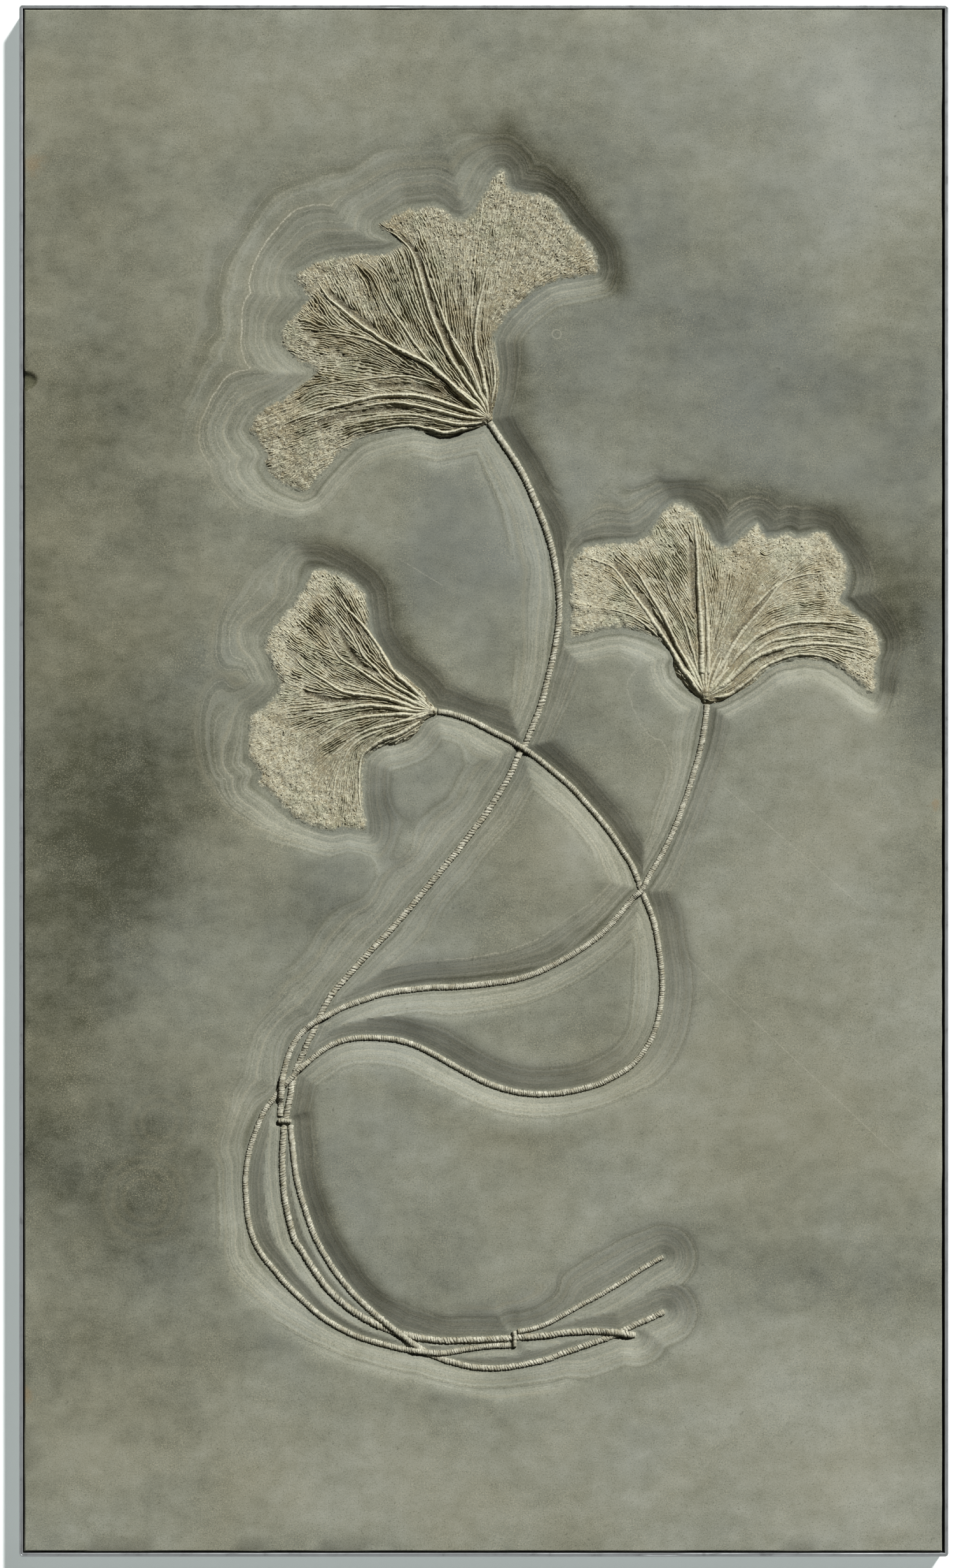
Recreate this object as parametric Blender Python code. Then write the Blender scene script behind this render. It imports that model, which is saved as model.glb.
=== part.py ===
"""Fossil crinoid plate: a framed slab of shale with three sea lilies standing in a ground hollow.

The plate lies on its back: +Z is up out of its face, +Y is the top of the plate as it hangs.
The origin is at the centre of the frame's footprint, on the plane that the frame lies on.
"""
import math

import bmesh
import bpy
import numpy as np
from mathutils import Vector
from mathutils.geometry import delaunay_2d_cdt

# ---- driving dimensions, metres ----
SLAB_WIDTH = 1.200
SLAB_HEIGHT = 2.015
FACE_Z = 0.0450          # flat face of the slab
BACK_Z = 0.0053          # back of the slab, just clear of the frame's flange
EDGE_CHAMFER = 0.0020
HOLLOW_DEPTH = 0.0160    # how far the ground hollow goes down below the face
FLOOR_Z = FACE_Z - HOLLOW_DEPTH
FLOOR_LEDGE = 0.0030     # level strip of floor kept round every fossil
SEAT_GAP = 0.0003        # between a fossil and what it lies on

FRAME_WALL = 0.0045
FRAME_TOP_Z = 0.0440
FLANGE_THICK = 0.0050
FLANGE_REACH = 0.0400
GAP_LEFT, GAP_RIGHT, GAP_TOP, GAP_BOTTOM = 0.0018, 0.0035, 0.0013, 0.0021
CORNER_ROUND = 0.0025

STEM_HEIGHT = 0.0046
CRUSHED_HEIGHT = 0.0028  # a stem where another lies over it
STEM_STATION = 0.028     # ring spacing along a stem
LEVEL_STEP = CRUSHED_HEIGHT + SEAT_GAP

# plan units: the layout below is drawn in units of 0.8313 mm, x to the right, y down,
# with the slab's middle at (759.5, 1226.5)
UNIT = 0.0008313
PLAN_MIDDLE = (759.5, 1226.5)
SLAB_SHIFT = ((GAP_LEFT - GAP_RIGHT) / 2, (GAP_BOTTOM - GAP_TOP) / 2)


def place(point):
    """Plan units to metres in the part's frame."""
    return ((point[0] - PLAN_MIDDLE[0]) * UNIT + SLAB_SHIFT[0],
            (PLAN_MIDDLE[1] - point[1]) * UNIT + SLAB_SHIFT[1])


# ---- layout: crowns ----
CROWNS = {
    "crown_upper": {
        "outline": [
            (773, 659), (778, 633), (784, 609), (786, 580), (782, 555), (779, 532), (788, 513),
            (802, 494), (822, 474), (841, 460), (860, 447), (880, 441), (920, 435), (941, 431),
            (945, 420), (943, 402), (936, 388), (926, 374), (908, 356), (892, 336), (880, 320),
            (867, 306), (851, 299), (830, 298), (812, 295), (804, 286), (801, 268), (793, 260),
            (781, 262), (770, 274), (762, 291), (753, 307), (742, 326), (728, 336), (711, 333),
            (698, 322), (682, 315), (662, 318), (638, 320), (622, 329), (609, 337), (590, 348),
            (590, 358), (606, 366), (620, 374), (627, 381), (604, 390), (578, 392), (548, 394),
            (520, 398), (496, 405), (475, 417), (460, 425), (459, 439), (471, 453), (479, 466),
            (467, 482), (447, 502), (436, 514), (434, 527), (441, 544), (453, 558), (471, 572),
            (488, 582), (483, 592), (462, 607), (442, 621), (422, 631), (405, 643), (393, 658),
            (387, 674), (394, 687), (406, 699), (413, 715), (409, 731), (421, 747), (438, 760),
            (458, 770), (475, 776), (487, 771), (495, 760), (508, 745), (524, 731), (540, 715),
            (556, 700), (572, 690), (589, 684), (609, 679), (630, 676), (650, 674), (671, 680),
            (691, 687), (711, 684), (732, 676), (752, 671), (765, 665)],
        "cup": (768, 656),
        "arms": [
            [(762, 645), (744, 633), (720, 613), (699, 592), (671, 570), (642, 555), (618, 543),
             (593, 527), (569, 511), (548, 494), (532, 480), (515, 466), (503, 449), (495, 437)],
            [(758, 640), (740, 625), (711, 604), (687, 580), (666, 556), (646, 531), (630, 506),
             (613, 482), (601, 458), (595, 437), (585, 425), (568, 413)],
            [(757, 632), (742, 612), (722, 583), (703, 553), (691, 527), (679, 498), (669, 466),
             (660, 433), (650, 402), (638, 382), (622, 368), (604, 358)],
            [(760, 630), (744, 588), (724, 551), (707, 523), (695, 494), (685, 466), (675, 441),
             (666, 413), (658, 396)],
            [(764, 635), (752, 612), (733, 572), (716, 545), (706, 519), (700, 489), (697, 455)],
            [(767, 630), (757, 576), (749, 551), (747, 527), (749, 498), (755, 466), (761, 445),
             (767, 421), (781, 400), (792, 380), (798, 364)],
            [(773, 632), (778, 600), (776, 572), (771, 545)],
            [(760, 651), (728, 643), (703, 634), (675, 625), (646, 620), (618, 620), (589, 622),
             (564, 628), (540, 634), (515, 640), (494, 648), (466, 657), (440, 668)],
            [(756, 657), (728, 655), (700, 647), (671, 640), (630, 632), (600, 633), (560, 640)],
            [(758, 662), (744, 665), (720, 666), (699, 662), (675, 655), (650, 651), (600, 652),
             (560, 660)],
            [(755, 667), (728, 673), (700, 679), (672, 672), (640, 667), (600, 673), (566, 684)],
            [(690, 602), (640, 590), (600, 592), (560, 596), (520, 602), (488, 612)],
            [(612, 545), (570, 530), (530, 524), (490, 520)],
            [(700, 560), (670, 520), (650, 485), (636, 450), (620, 418)],
        ],
        "furrows": [
            [(722, 570), (699, 527), (687, 498), (675, 462), (666, 425), (650, 391), (632, 372)],
            [(690, 617), (640, 604), (590, 606)],
            [(640, 640), (600, 642), (548, 650), (500, 662)],
            [(585, 512), (545, 482), (515, 456)],
        ],
    },
    "crown_left": {
        "outline": [
            (688, 1113), (681, 1110), (673, 1097), (662, 1084), (651, 1073), (634, 1060),
            (617, 1047), (606, 1030), (595, 1012), (587, 994), (584, 976), (581, 950), (579, 936),
            (570, 922), (557, 911), (541, 900), (521, 893), (504, 891), (488, 894), (479, 905),
            (470, 923), (459, 941), (450, 954), (436, 968), (420, 985), (411, 1000), (410, 1017),
            (418, 1032), (425, 1050), (433, 1064), (436, 1076), (428, 1092), (410, 1108),
            (392, 1119), (387, 1134), (386, 1155), (385, 1173), (386, 1194), (397, 1204),
            (403, 1216), (399, 1232), (411, 1240), (428, 1254), (441, 1271), (459, 1288),
            (481, 1298), (503, 1306), (522, 1310), (547, 1305), (566, 1309), (578, 1310),
            (579, 1293), (575, 1271), (573, 1249), (574, 1218), (577, 1196), (588, 1182),
            (603, 1173), (624, 1170), (642, 1163), (656, 1151), (667, 1134), (680, 1125),
            (687.5, 1122)],
        "cup": (682, 1117),
        "arms": [
            [(668, 1100), (642, 1076), (625, 1062), (611, 1044), (598, 1021), (586, 1003),
             (573, 986), (557, 968), (544, 954), (530, 931)],
            [(664, 1104), (646, 1092), (611, 1071), (589, 1048), (571, 1030), (562, 1012),
             (553, 994), (540, 977), (526, 959), (515, 944)],
            [(660, 1108), (640, 1099), (611, 1084), (584, 1066), (557, 1048), (535, 1034),
             (522, 1017), (512, 999), (504, 984)],
            [(655, 1112), (611, 1098), (575, 1092), (540, 1087), (513, 1071), (490, 1057),
             (472, 1043), (458, 1025)],
            [(655, 1117), (611, 1111), (575, 1108), (544, 1113), (513, 1118), (477, 1120)],
            [(655, 1122), (600, 1124), (566, 1128), (544, 1134), (522, 1146), (500, 1162)],
            [(657, 1127), (620, 1137), (584, 1146), (557, 1159), (535, 1176), (512, 1196)],
            [(660, 1133), (629, 1153), (603, 1162), (582, 1175), (567, 1194), (564, 1236),
             (567, 1282)],
            [(600, 1146), (560, 1166), (540, 1192), (526, 1230), (524, 1276)],
            [(530, 1150), (500, 1172), (478, 1204), (470, 1240)],
        ],
        "furrows": [
            [(600, 1058), (570, 1046), (548, 1020), (534, 992)],
            [(560, 1100), (520, 1100), (480, 1088)],
            [(620, 1122), (570, 1120)],
        ],
    },
    "crown_right": {
        "outline": [
            (1107, 1105.5), (1101, 1099), (1090, 1090), (1076, 1075), (1063, 1060), (1058, 1045),
            (1060, 1033), (1054, 1021), (1040, 1010), (1020, 999), (1000, 993), (976, 989),
            (950, 992), (925, 999), (905, 1004), (893, 1007), (893, 985), (893, 940), (893, 900),
            (898, 878), (905, 864), (920, 854), (940, 850), (960, 848), (980, 847), (1000, 845),
            (1016, 834), (1030, 817), (1041, 797), (1056, 785), (1071, 784), (1088, 791),
            (1103, 806), (1116, 828), (1125, 847), (1136, 855), (1148, 852), (1163, 838),
            (1180, 823), (1190, 817), (1197, 823), (1205, 837), (1224, 837), (1242, 832),
            (1256, 839), (1270, 835), (1286, 831), (1303, 833), (1316, 853), (1329, 868),
            (1338, 889), (1339, 904), (1334, 924), (1328, 940), (1339, 950), (1348, 960),
            (1365, 970), (1382, 988), (1390, 1006), (1390, 1021), (1385, 1037), (1383, 1060),
            (1383, 1086), (1375, 1100), (1357, 1086), (1342, 1070), (1326, 1057), (1301, 1042),
            (1265, 1037), (1230, 1043), (1209, 1052), (1196, 1065), (1179, 1078), (1158, 1090),
            (1133, 1102), (1117, 1106.5)],
        "cup": (1110, 1095),
        "arms": [
            [(1100, 1088), (1085, 1066), (1071, 1047), (1059, 1024), (1041, 996), (1020, 965),
             (1005, 945), (985, 918), (975, 904), (962, 890), (942, 881), (918, 874)],
            [(1098, 1074), (1081, 1042), (1066, 1014), (1051, 984), (1036, 955), (1020, 929),
             (1005, 904), (985, 880), (965, 862)],
            [(1097, 1052), (1084, 1004), (1071, 965), (1056, 938), (1045, 905)],
            [(1104, 1060), (1104, 1026), (1103, 986), (1100, 945), (1098, 904), (1097, 873),
             (1094, 838), (1089, 804)],
            [(1115, 1060), (1114, 1026), (1113, 986), (1110, 945), (1106, 914), (1104, 884)],
            [(1125, 1062), (1138, 1040), (1153, 1014), (1173, 985), (1194, 962), (1219, 929),
             (1240, 904), (1260, 883), (1285, 862)],
            [(1122, 1085), (1140, 1074), (1160, 1056), (1179, 1038), (1204, 1025), (1230, 1017),
             (1260, 1012), (1291, 1011), (1326, 1014), (1357, 1019), (1379, 1027)],
            [(1150, 1044), (1163, 1026), (1189, 1001), (1219, 986), (1255, 978), (1296, 977),
             (1337, 981), (1375, 993)],
            [(1180, 1030), (1209, 1009), (1235, 1003), (1275, 998), (1316, 1000), (1357, 1007)],
            [(1120, 1096), (1142, 1092), (1162, 1080), (1180, 1067), (1198, 1050), (1225, 1036),
             (1262, 1028), (1298, 1032), (1326, 1046)],
            [(1040, 1004), (1010, 978), (980, 962), (940, 955), (905, 956)],
            [(1128, 1010), (1150, 960), (1170, 915), (1185, 870)],
            [(1180, 960), (1215, 925), (1255, 905), (1300, 900)],
        ],
        "furrows": [
            [(1078, 1046), (1062, 1016), (1046, 990), (1022, 955), (990, 915), (968, 884)],
            [(1092, 960), (1089, 900), (1086, 850)],
            [(1150, 1070), (1172, 1050), (1196, 1036), (1230, 1026)],
            [(1150, 1006), (1180, 968), (1210, 930)],
        ],
    },
}

# ---- layout: stems, each from its crown down ----
STEMS = {
    "stem_upper": {
        "width": 0.0080,
        "line": [
            (769.4, 662.3), (783, 683), (800, 708), (816, 733), (829, 758), (840, 783), (850, 808),
            (861, 838), (870, 870), (876, 905), (879.5, 940), (879, 975), (874, 1010), (868, 1040),
            (860, 1072), (851, 1106), (838, 1140), (826, 1168), (814, 1190), (802, 1217),
            (782, 1251), (763, 1280), (740, 1310), (715, 1342), (690, 1372), (660, 1408),
            (619, 1456), (580, 1497), (540, 1541), (522, 1562), (509, 1584), (500, 1602),
            (492.5, 1621), (484, 1637), (478, 1652), (470, 1670), (465, 1683), (459, 1703),
            (456, 1723), (452, 1741), (449, 1757), (446, 1772), (444.5, 1790), (443.5, 1811),
            (443.3, 1830), (444.3, 1851), (446, 1876), (449, 1895), (453.5, 1917), (459, 1938),
            (465, 1954), (472, 1964), (483, 1982), (495, 2000), (509, 2020), (526, 2038),
            (545, 2055), (564, 2068), (583, 2079), (599, 2087), (617, 2093.5), (637, 2099),
            (660, 2104), (680, 2107), (700, 2108.5), (740, 2107.5), (784, 2105.5), (820, 2103.5),
            (840, 2102), (860, 2100.5), (880, 2097), (900, 2095), (930, 2093.5), (956, 2094),
            (972, 2095.5), (985, 2098), (999.5, 2099.5)],
    },
    "stem_left": {
        "width": 0.0070,
        "line": [
            (688.6, 1117.6), (700, 1119), (721, 1124.5), (740, 1131.5), (761, 1142), (782, 1153),
            (800, 1162), (819, 1173), (841, 1188), (861, 1204), (880, 1220), (900, 1238),
            (920, 1260), (940, 1283), (960, 1308), (980, 1338), (994, 1360), (1003, 1382),
            (1009.5, 1401), (1019, 1423), (1028, 1447), (1034, 1475), (1038, 1503), (1041, 1530),
            (1041.5, 1554), (1039.5, 1578), (1035, 1604), (1027, 1628), (1014, 1651), (998, 1671),
            (980, 1685), (960, 1696), (940, 1705), (919, 1711), (899, 1715.5), (879, 1718.5),
            (859, 1720), (839, 1720), (819, 1718), (800, 1714), (780, 1708), (760, 1700),
            (740, 1690), (720, 1679), (699, 1667), (679, 1656), (659, 1646), (640, 1639),
            (620, 1634), (599, 1632), (579, 1631), (559, 1632), (540, 1635.5), (520, 1643),
            (503, 1654), (484, 1669), (470, 1681), (460, 1692), (450, 1702.5), (440, 1713),
            (429, 1728), (418, 1742), (410, 1757), (402, 1777), (395, 1797), (390, 1816),
            (386.5, 1838), (385, 1861), (386, 1882), (387.5, 1902), (390, 1920), (395, 1940),
            (403, 1960), (416, 1980), (431, 1998), (446, 2016), (462, 2032), (480, 2049),
            (500, 2067), (519, 2080), (539, 2091.5), (559, 2101), (580, 2108), (601, 2114),
            (621, 2119), (641, 2123), (660, 2125), (680, 2127), (700, 2127.5), (720, 2124.5),
            (740, 2121), (762, 2118), (783, 2116.5), (803.6, 2116)],
    },
    "stem_left_end": {
        "width": 0.0062,
        "line": [
            (814, 2094.2), (822, 2093), (840, 2089), (860, 2082), (880, 2071.5), (900, 2060),
            (920, 2049), (940, 2038.5), (960, 2027), (980, 2015), (1000, 2002), (1020, 1989.5),
            (1043, 1976.5)],
    },
    "stem_right": {
        "width": 0.0074,
        "line": [
            (1112, 1106.6), (1111.5, 1118), (1108, 1143), (1104, 1167), (1098, 1192),
            (1090, 1219), (1081.5, 1247), (1072, 1274), (1061, 1302), (1048.5, 1329), (1035, 1354),
            (1021, 1377), (1010, 1398), (997, 1410), (980, 1431), (960, 1454), (940, 1473),
            (919, 1488), (899, 1501), (879, 1512), (860, 1522), (840, 1530.5), (819, 1537.5),
            (799, 1542), (760, 1547), (720, 1551), (681, 1552), (660, 1554), (630, 1557.5),
            (600, 1562.5), (579, 1569), (559, 1576), (540, 1583), (520, 1593), (501, 1603),
            (484, 1614), (470, 1628), (459, 1645), (451, 1665), (446.5, 1683), (443, 1702),
            (442, 1721), (440.5, 1741), (439.5, 1755)],
    },
    "stem_right_end": {
        "width": 0.0074,
        "line": [
            (456.5, 1769), (457, 1784), (459, 1800), (461, 1820), (463.5, 1841), (467.5, 1861),
            (472.5, 1881), (479, 1902), (486.5, 1924), (494.5, 1945), (503, 1962), (513, 1979),
            (524.5, 1997), (540, 2017), (554.5, 2034), (570.5, 2050), (586, 2064), (602, 2077),
            (618, 2089.5), (631, 2099.5), (644, 2109), (656.5, 2118), (674, 2129), (691.5, 2136.5),
            (711, 2142.5), (733, 2148), (755, 2151), (778, 2152), (800, 2150), (822, 2146.5),
            (841, 2142.5), (860, 2138), (880, 2130.5), (900, 2123.5), (920, 2116.5), (940, 2109.5),
            (959, 2103), (972, 2098), (983, 2091.5), (1000, 2083), (1020, 2074.5),
            (1045, 2063)],
    },
    "ossicle_upper": {"width": 0.0060, "line": [(436.5, 1762), (447, 1762.3), (457.5, 1763.4)]},
    "ossicle_lower": {"width": 0.0056, "line": [(808.6, 2093), (809.2, 2105), (809, 2118.5)]},
}

# crossings: where, which stem is under, which is over, and how many levels up the upper one lies
CROSSINGS = [
    ((824, 1173), "stem_upper", "stem_left", 1),
    ((1009.5, 1401), "stem_left", "stem_right", 1),
    ((500, 1603), "stem_upper", "stem_right", 1),
    ((463.5, 1688), "stem_upper", "stem_left", 1),
    ((442.5, 1710), "stem_left", "stem_right", 2),
    ((448, 1762.5), "stem_upper", "ossicle_upper", 1),
    ((625, 2095), "stem_upper", "stem_right_end", 1),
    ((665, 2124.8), "stem_right_end", "stem_left", 1),
    ((809, 2104.5), "stem_upper", "ossicle_lower", 1),
    ((976, 2096), "stem_right_end", "stem_upper", 1),
]

# how far the hollow's slope reaches from the nearest fossil, noted place by place (x, y, reach)
REACH = [
    (1000, 430, 48), (930, 340, 50), (890, 290, 52), (850, 240, 72), (785, 180, 80),
    (700, 190, 130), (640, 170, 140), (560, 200, 170), (470, 250, 205), (380, 300, 225),
    (300, 420, 225), (240, 520, 215), (220, 620, 180), (250, 700, 150), (280, 780, 135),
    (340, 820, 110), (440, 830, 65), (490, 815, 50), (560, 760, 60), (640, 735, 60),
    (720, 730, 70), (760, 760, 85), (790, 850, 90), (800, 950, 85), (790, 1050, 80),
    (790, 1120, 60), (870, 540, 60), (830, 620, 46), (900, 490, 62), (960, 480, 60),
    (835, 680, 46), (880, 750, 48), (910, 740, 95), (960, 740, 130), (1010, 750, 95),
    (1065, 745, 52), (1130, 770, 65), (1190, 770, 72), (1250, 790, 62), (1310, 800, 52),
    (1375, 880, 50), (1385, 950, 52), (1425, 1010, 42), (1400, 1110, 40), (1370, 1140, 40),
    (1260, 1075, 48), (1190, 1110, 45), (1150, 1150, 45), (1120, 1240, 48), (1080, 1340, 50),
    (1055, 1400, 55), (1040, 1170, 62), (1010, 1260, 62), (960, 1040, 60), (900, 1060, 60),
    (860, 1160, 50), (900, 1180, 45), (960, 1250, 45), (1000, 1320, 45), (840, 1240, 60),
    (930, 1340, 58), (960, 1400, 60), (760, 1340, 55), (700, 1400, 55), (620, 1500, 55),
    (700, 1510, 55), (820, 1480, 60), (900, 1440, 60), (780, 1180, 70), (740, 1220, 115),
    (680, 1300, 135), (620, 1380, 145), (540, 1460, 145), (470, 1540, 125), (430, 1600, 100),
    (370, 1680, 90), (350, 1780, 72), (330, 1860, 64), (330, 1950, 70), (370, 2020, 75),
    (450, 2085, 70), (560, 2150, 58), (700, 2185, 55), (850, 2180, 66), (960, 2130, 70),
    (1060, 2080, 78), (1060, 1960, 80), (960, 1990, 95), (860, 2030, 85), (760, 2060, 72),
    (660, 2060, 60), (600, 2020, 50), (540, 1950, 48), (500, 1850, 45), (490, 1760, 48),
    (480, 1720, 50), (540, 1690, 55), (620, 1680, 56), (740, 1730, 50), (850, 1750, 50),
    (950, 1730, 48), (1050, 1640, 72), (1075, 1550, 72), (1060, 1460, 62), (1000, 1550, 70),
    (960, 1640, 60), (850, 1660, 60), (750, 1640, 58), (640, 1590, 50), (720, 1600, 62),
    (850, 1560, 56), (960, 1490, 54), (500, 840, 54), (590, 870, 52), (640, 950, 50),
    (680, 1020, 54), (710, 1060, 55), (750, 1090, 48), (440, 860, 90), (380, 900, 125),
    (320, 960, 140), (280, 1050, 135), (255, 1140, 130), (280, 1230, 120), (340, 1310, 95),
    (420, 1360, 68), (480, 1365, 54), (560, 1355, 48), (620, 1330, 70), (640, 1240, 60),
    (640, 1190, 60), (700, 1170, 60), (868, 800, 44), (888, 870, 44),
    (896, 930, 46)]

# slab outline with the chip broken out of its left edge, plan units
SLAB_OUTLINE = [(37.7, 14.6), (1481.3, 14.6), (1481.3, 2438.4), (37.7, 2438.4), (37.7, 613),
                (49, 611), (57, 605), (59, 594), (52, 586), (37.7, 583)]

COLOURS = {
    "slab": (0.205, 0.207, 0.168, 1.0),
    "crown": (0.430, 0.395, 0.290, 1.0),
    "stem": (0.500, 0.470, 0.360, 1.0),
    "frame": (0.300, 0.310, 0.320, 1.0),
}


# ---- plane geometry ----
def smooth_line(points, step):
    """Catmull-Rom curve through the points, sampled about every step metres."""
    p = [np.array(q, float) for q in points]
    p = [2 * p[0] - p[1]] + p + [2 * p[-1] - p[-2]]
    out = [p[1]]
    for i in range(1, len(p) - 2):
        n = max(1, int(round(np.linalg.norm(p[i + 1] - p[i]) / step)))
        for k in range(1, n + 1):
            t = k / n
            out.append(0.5 * (2 * p[i] + (p[i + 1] - p[i - 1]) * t
                              + (2 * p[i - 1] - 5 * p[i] + 4 * p[i + 1] - p[i + 2]) * t * t
                              + (3 * p[i] - p[i - 1] - 3 * p[i + 1] + p[i + 2]) * t ** 3))
    return np.array(out)


def distance_to_line(q, line, closed):
    """Distance from each of the points q to a polyline."""
    ends = np.vstack([line, line[:1]]) if closed else line
    best = np.full(len(q), 1e9)
    for a, b in zip(ends[:-1], ends[1:]):
        ab = b - a
        t = np.clip(((q - a) @ ab) / max(float(ab @ ab), 1e-18), 0.0, 1.0)
        d = q - a - t[:, None] * ab
        np.minimum(best, np.einsum("ij,ij->i", d, d), out=best)
    return np.sqrt(best)


def inside(q, loop):
    """Which of the points q lie inside a closed loop."""
    hit = np.zeros(len(q), bool)
    for a, b in zip(loop, np.roll(loop, -1, axis=0)):
        spans = (a[1] > q[:, 1]) != (b[1] > q[:, 1])
        with np.errstate(divide="ignore", invalid="ignore"):
            x = a[0] + (q[:, 1] - a[1]) * (b[0] - a[0]) / (b[1] - a[1])
        hit ^= spans & (q[:, 0] < x)
    return hit


def simplify(line, tolerance):
    """Douglas-Peucker on an open polyline."""
    keep = np.zeros(len(line), bool)
    keep[0] = keep[-1] = True
    stack = [(0, len(line) - 1)]
    while stack:
        i, j = stack.pop()
        if j < i + 2:
            continue
        d = distance_to_line(line[i + 1:j], line[[i, j]], False)
        k = int(np.argmax(d))
        if d[k] > tolerance:
            k += i + 1
            keep[k] = True
            stack += [(i, k), (k, j)]
    return line[keep]


def simplify_loop(loop, tolerance):
    far = int(np.argmax(np.linalg.norm(loop - loop[0], axis=1)))
    one = simplify(loop[:far + 1], tolerance)
    two = simplify(np.vstack([loop[far:], loop[:1]]), tolerance)
    return np.vstack([one[:-1], two[:-1]])


def level_loops(values, xs, ys, level):
    """Closed level lines of a grid of values, by marching squares."""
    high = values > level
    joins = {}

    def crossing(i, j, di, dj):
        a, b = values[i, j], values[i + di, j + dj]
        t = (level - a) / (b - a)
        return (xs[i] + t * (xs[i + di] - xs[i]), ys[j] + t * (ys[j + dj] - ys[j]))

    spots = {}
    mixed = ((high[:-1, :-1] != high[1:, :-1]) | (high[:-1, :-1] != high[:-1, 1:])
             | (high[:-1, :-1] != high[1:, 1:]))
    for i, j in zip(*np.nonzero(mixed)):
        sides = [(i, j, 1, 0), (i + 1, j, 0, 1), (i, j + 1, 1, 0), (i, j, 0, 1)]
        cut = [s for s in sides if high[s[0], s[1]] != high[s[0] + s[2], s[1] + s[3]]]
        pairs = [(cut[0], cut[1])]
        if len(cut) == 4:
            pairs = [(cut[0], cut[3]), (cut[1], cut[2])]
        for a, b in pairs:
            for s in (a, b):
                if s not in spots:
                    spots[s] = crossing(*s)
            joins.setdefault(a, []).append(b)
            joins.setdefault(b, []).append(a)
    loops = []
    left = set(joins)
    while left:
        start = min(left)
        loop, now, before = [], start, None
        while now in left:
            left.discard(now)
            loop.append(spots[now])
            ahead = [s for s in joins[now] if s != before and s in left]
            before, now = now, (ahead[0] if ahead else None)
        loops.append(np.array(loop))
    return loops


def triangulate(points, edges, faces=()):
    """Constrained Delaunay triangles inside the given boundary."""
    verts, _, tris, _, _, _ = delaunay_2d_cdt(
        [Vector(p) for p in points], edges, faces, 1, 1e-6)
    return np.array([tuple(v) for v in verts]), [tuple(t) for t in tris]


def loop_edges(first, count):
    return [(first + k, first + (k + 1) % count) for k in range(count)]


# ---- objects ----
def material(name, colour, roughness, metallic):
    m = bpy.data.materials.new(name)
    m.use_nodes = True
    m.diffuse_color = colour
    shader = m.node_tree.nodes["Principled BSDF"]
    shader.inputs["Base Color"].default_value = colour
    shader.inputs["Roughness"].default_value = roughness
    shader.inputs["Metallic"].default_value = metallic
    return m


def add_object(name, verts, faces, mat, sharp_angle=None):
    mesh = bpy.data.meshes.new(name)
    mesh.from_pydata([tuple(v) for v in verts], [], [tuple(f) for f in faces])
    bm = bmesh.new()
    bm.from_mesh(mesh)
    bmesh.ops.remove_doubles(bm, verts=bm.verts, dist=0.00002)
    bmesh.ops.recalc_face_normals(bm, faces=bm.faces)
    bm.to_mesh(mesh)
    bm.free()
    mesh.materials.append(mat)
    if sharp_angle:
        mesh.shade_smooth()
        mesh.set_sharp_from_angle(angle=sharp_angle)
    obj = bpy.data.objects.new(name, mesh)
    bpy.context.scene.collection.objects.link(obj)
    return obj


# ---- stems: a D-shaped bar with a flat underside, lifted where it lies over another ----
def stem_track(name):
    """Dense centre line of a stem with its running length."""
    line = smooth_line([place(p) for p in STEMS[name]["line"]], 0.001)
    run = np.concatenate([[0], np.cumsum(np.linalg.norm(np.diff(line, axis=0), axis=1))])
    return line, run


def shared_stretch(name, other, spot):
    """Start and end of the stretch of a stem that lies over or under the other one."""
    line, run = TRACKS[name]
    k = int(np.argmin(np.linalg.norm(line - spot, axis=1)))
    wide = 0.5 * (STEMS[name]["width"] + STEMS[other]["width"]) + 0.0006
    close = distance_to_line(line, TRACKS[other][0], False) < wide
    a = b = k
    while a > 0 and close[a - 1]:
        a -= 1
    while b < len(run) - 1 and close[b + 1]:
        b += 1
    return run[a], run[b]


def stem_profile(name):
    """Lift and height along the stem, and the lengths at which they change."""
    line, run = TRACKS[name]
    lift = np.zeros(len(run))
    tall = np.full(len(run), STEM_HEIGHT)
    knots = []
    for spot, under, over, level in CROSSINGS:
        if name not in (under, over):
            continue
        a, b = shared_stretch(name, over if name == under else under, np.array(place(spot)))
        ramp = 0.0072 if name == over else 0.0050
        blend = np.clip(np.minimum(run - a + ramp, b + ramp - run) / ramp, 0.0, 1.0)
        if name == over:
            lift = np.maximum(lift, blend * level * LEVEL_STEP)
        else:
            tall = np.minimum(tall, STEM_HEIGHT + blend * (CRUSHED_HEIGHT - STEM_HEIGHT))
        knots += [a - ramp, a, b, b + ramp]
        print("  crossing", name, "mm", [round(1000 * v, 1) for v in (a, b)])
    return line, run, lift, tall, knots


def stem_stations(run, line, knots, step):
    """Where the rings go: evenly, closer in bends, and at each change of height."""
    way = np.arctan2(*np.gradient(line, axis=0).T[::-1])
    turn = np.abs(np.gradient(np.unwrap(way)))
    load = np.cumsum(0.001 / step + turn / 0.20)
    load -= load[0]
    count = max(2, int(math.ceil(load[-1])))
    marks = [float(np.interp(load[-1] * k / count, load, run)) for k in range(count + 1)]
    for s in knots:
        if 0.002 < s < run[-1] - 0.002:
            marks = [m for m in marks if m in (0.0, run[-1]) or m in knots or abs(m - s) > 0.006]
            marks.append(s)
    return sorted(set(marks))


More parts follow.
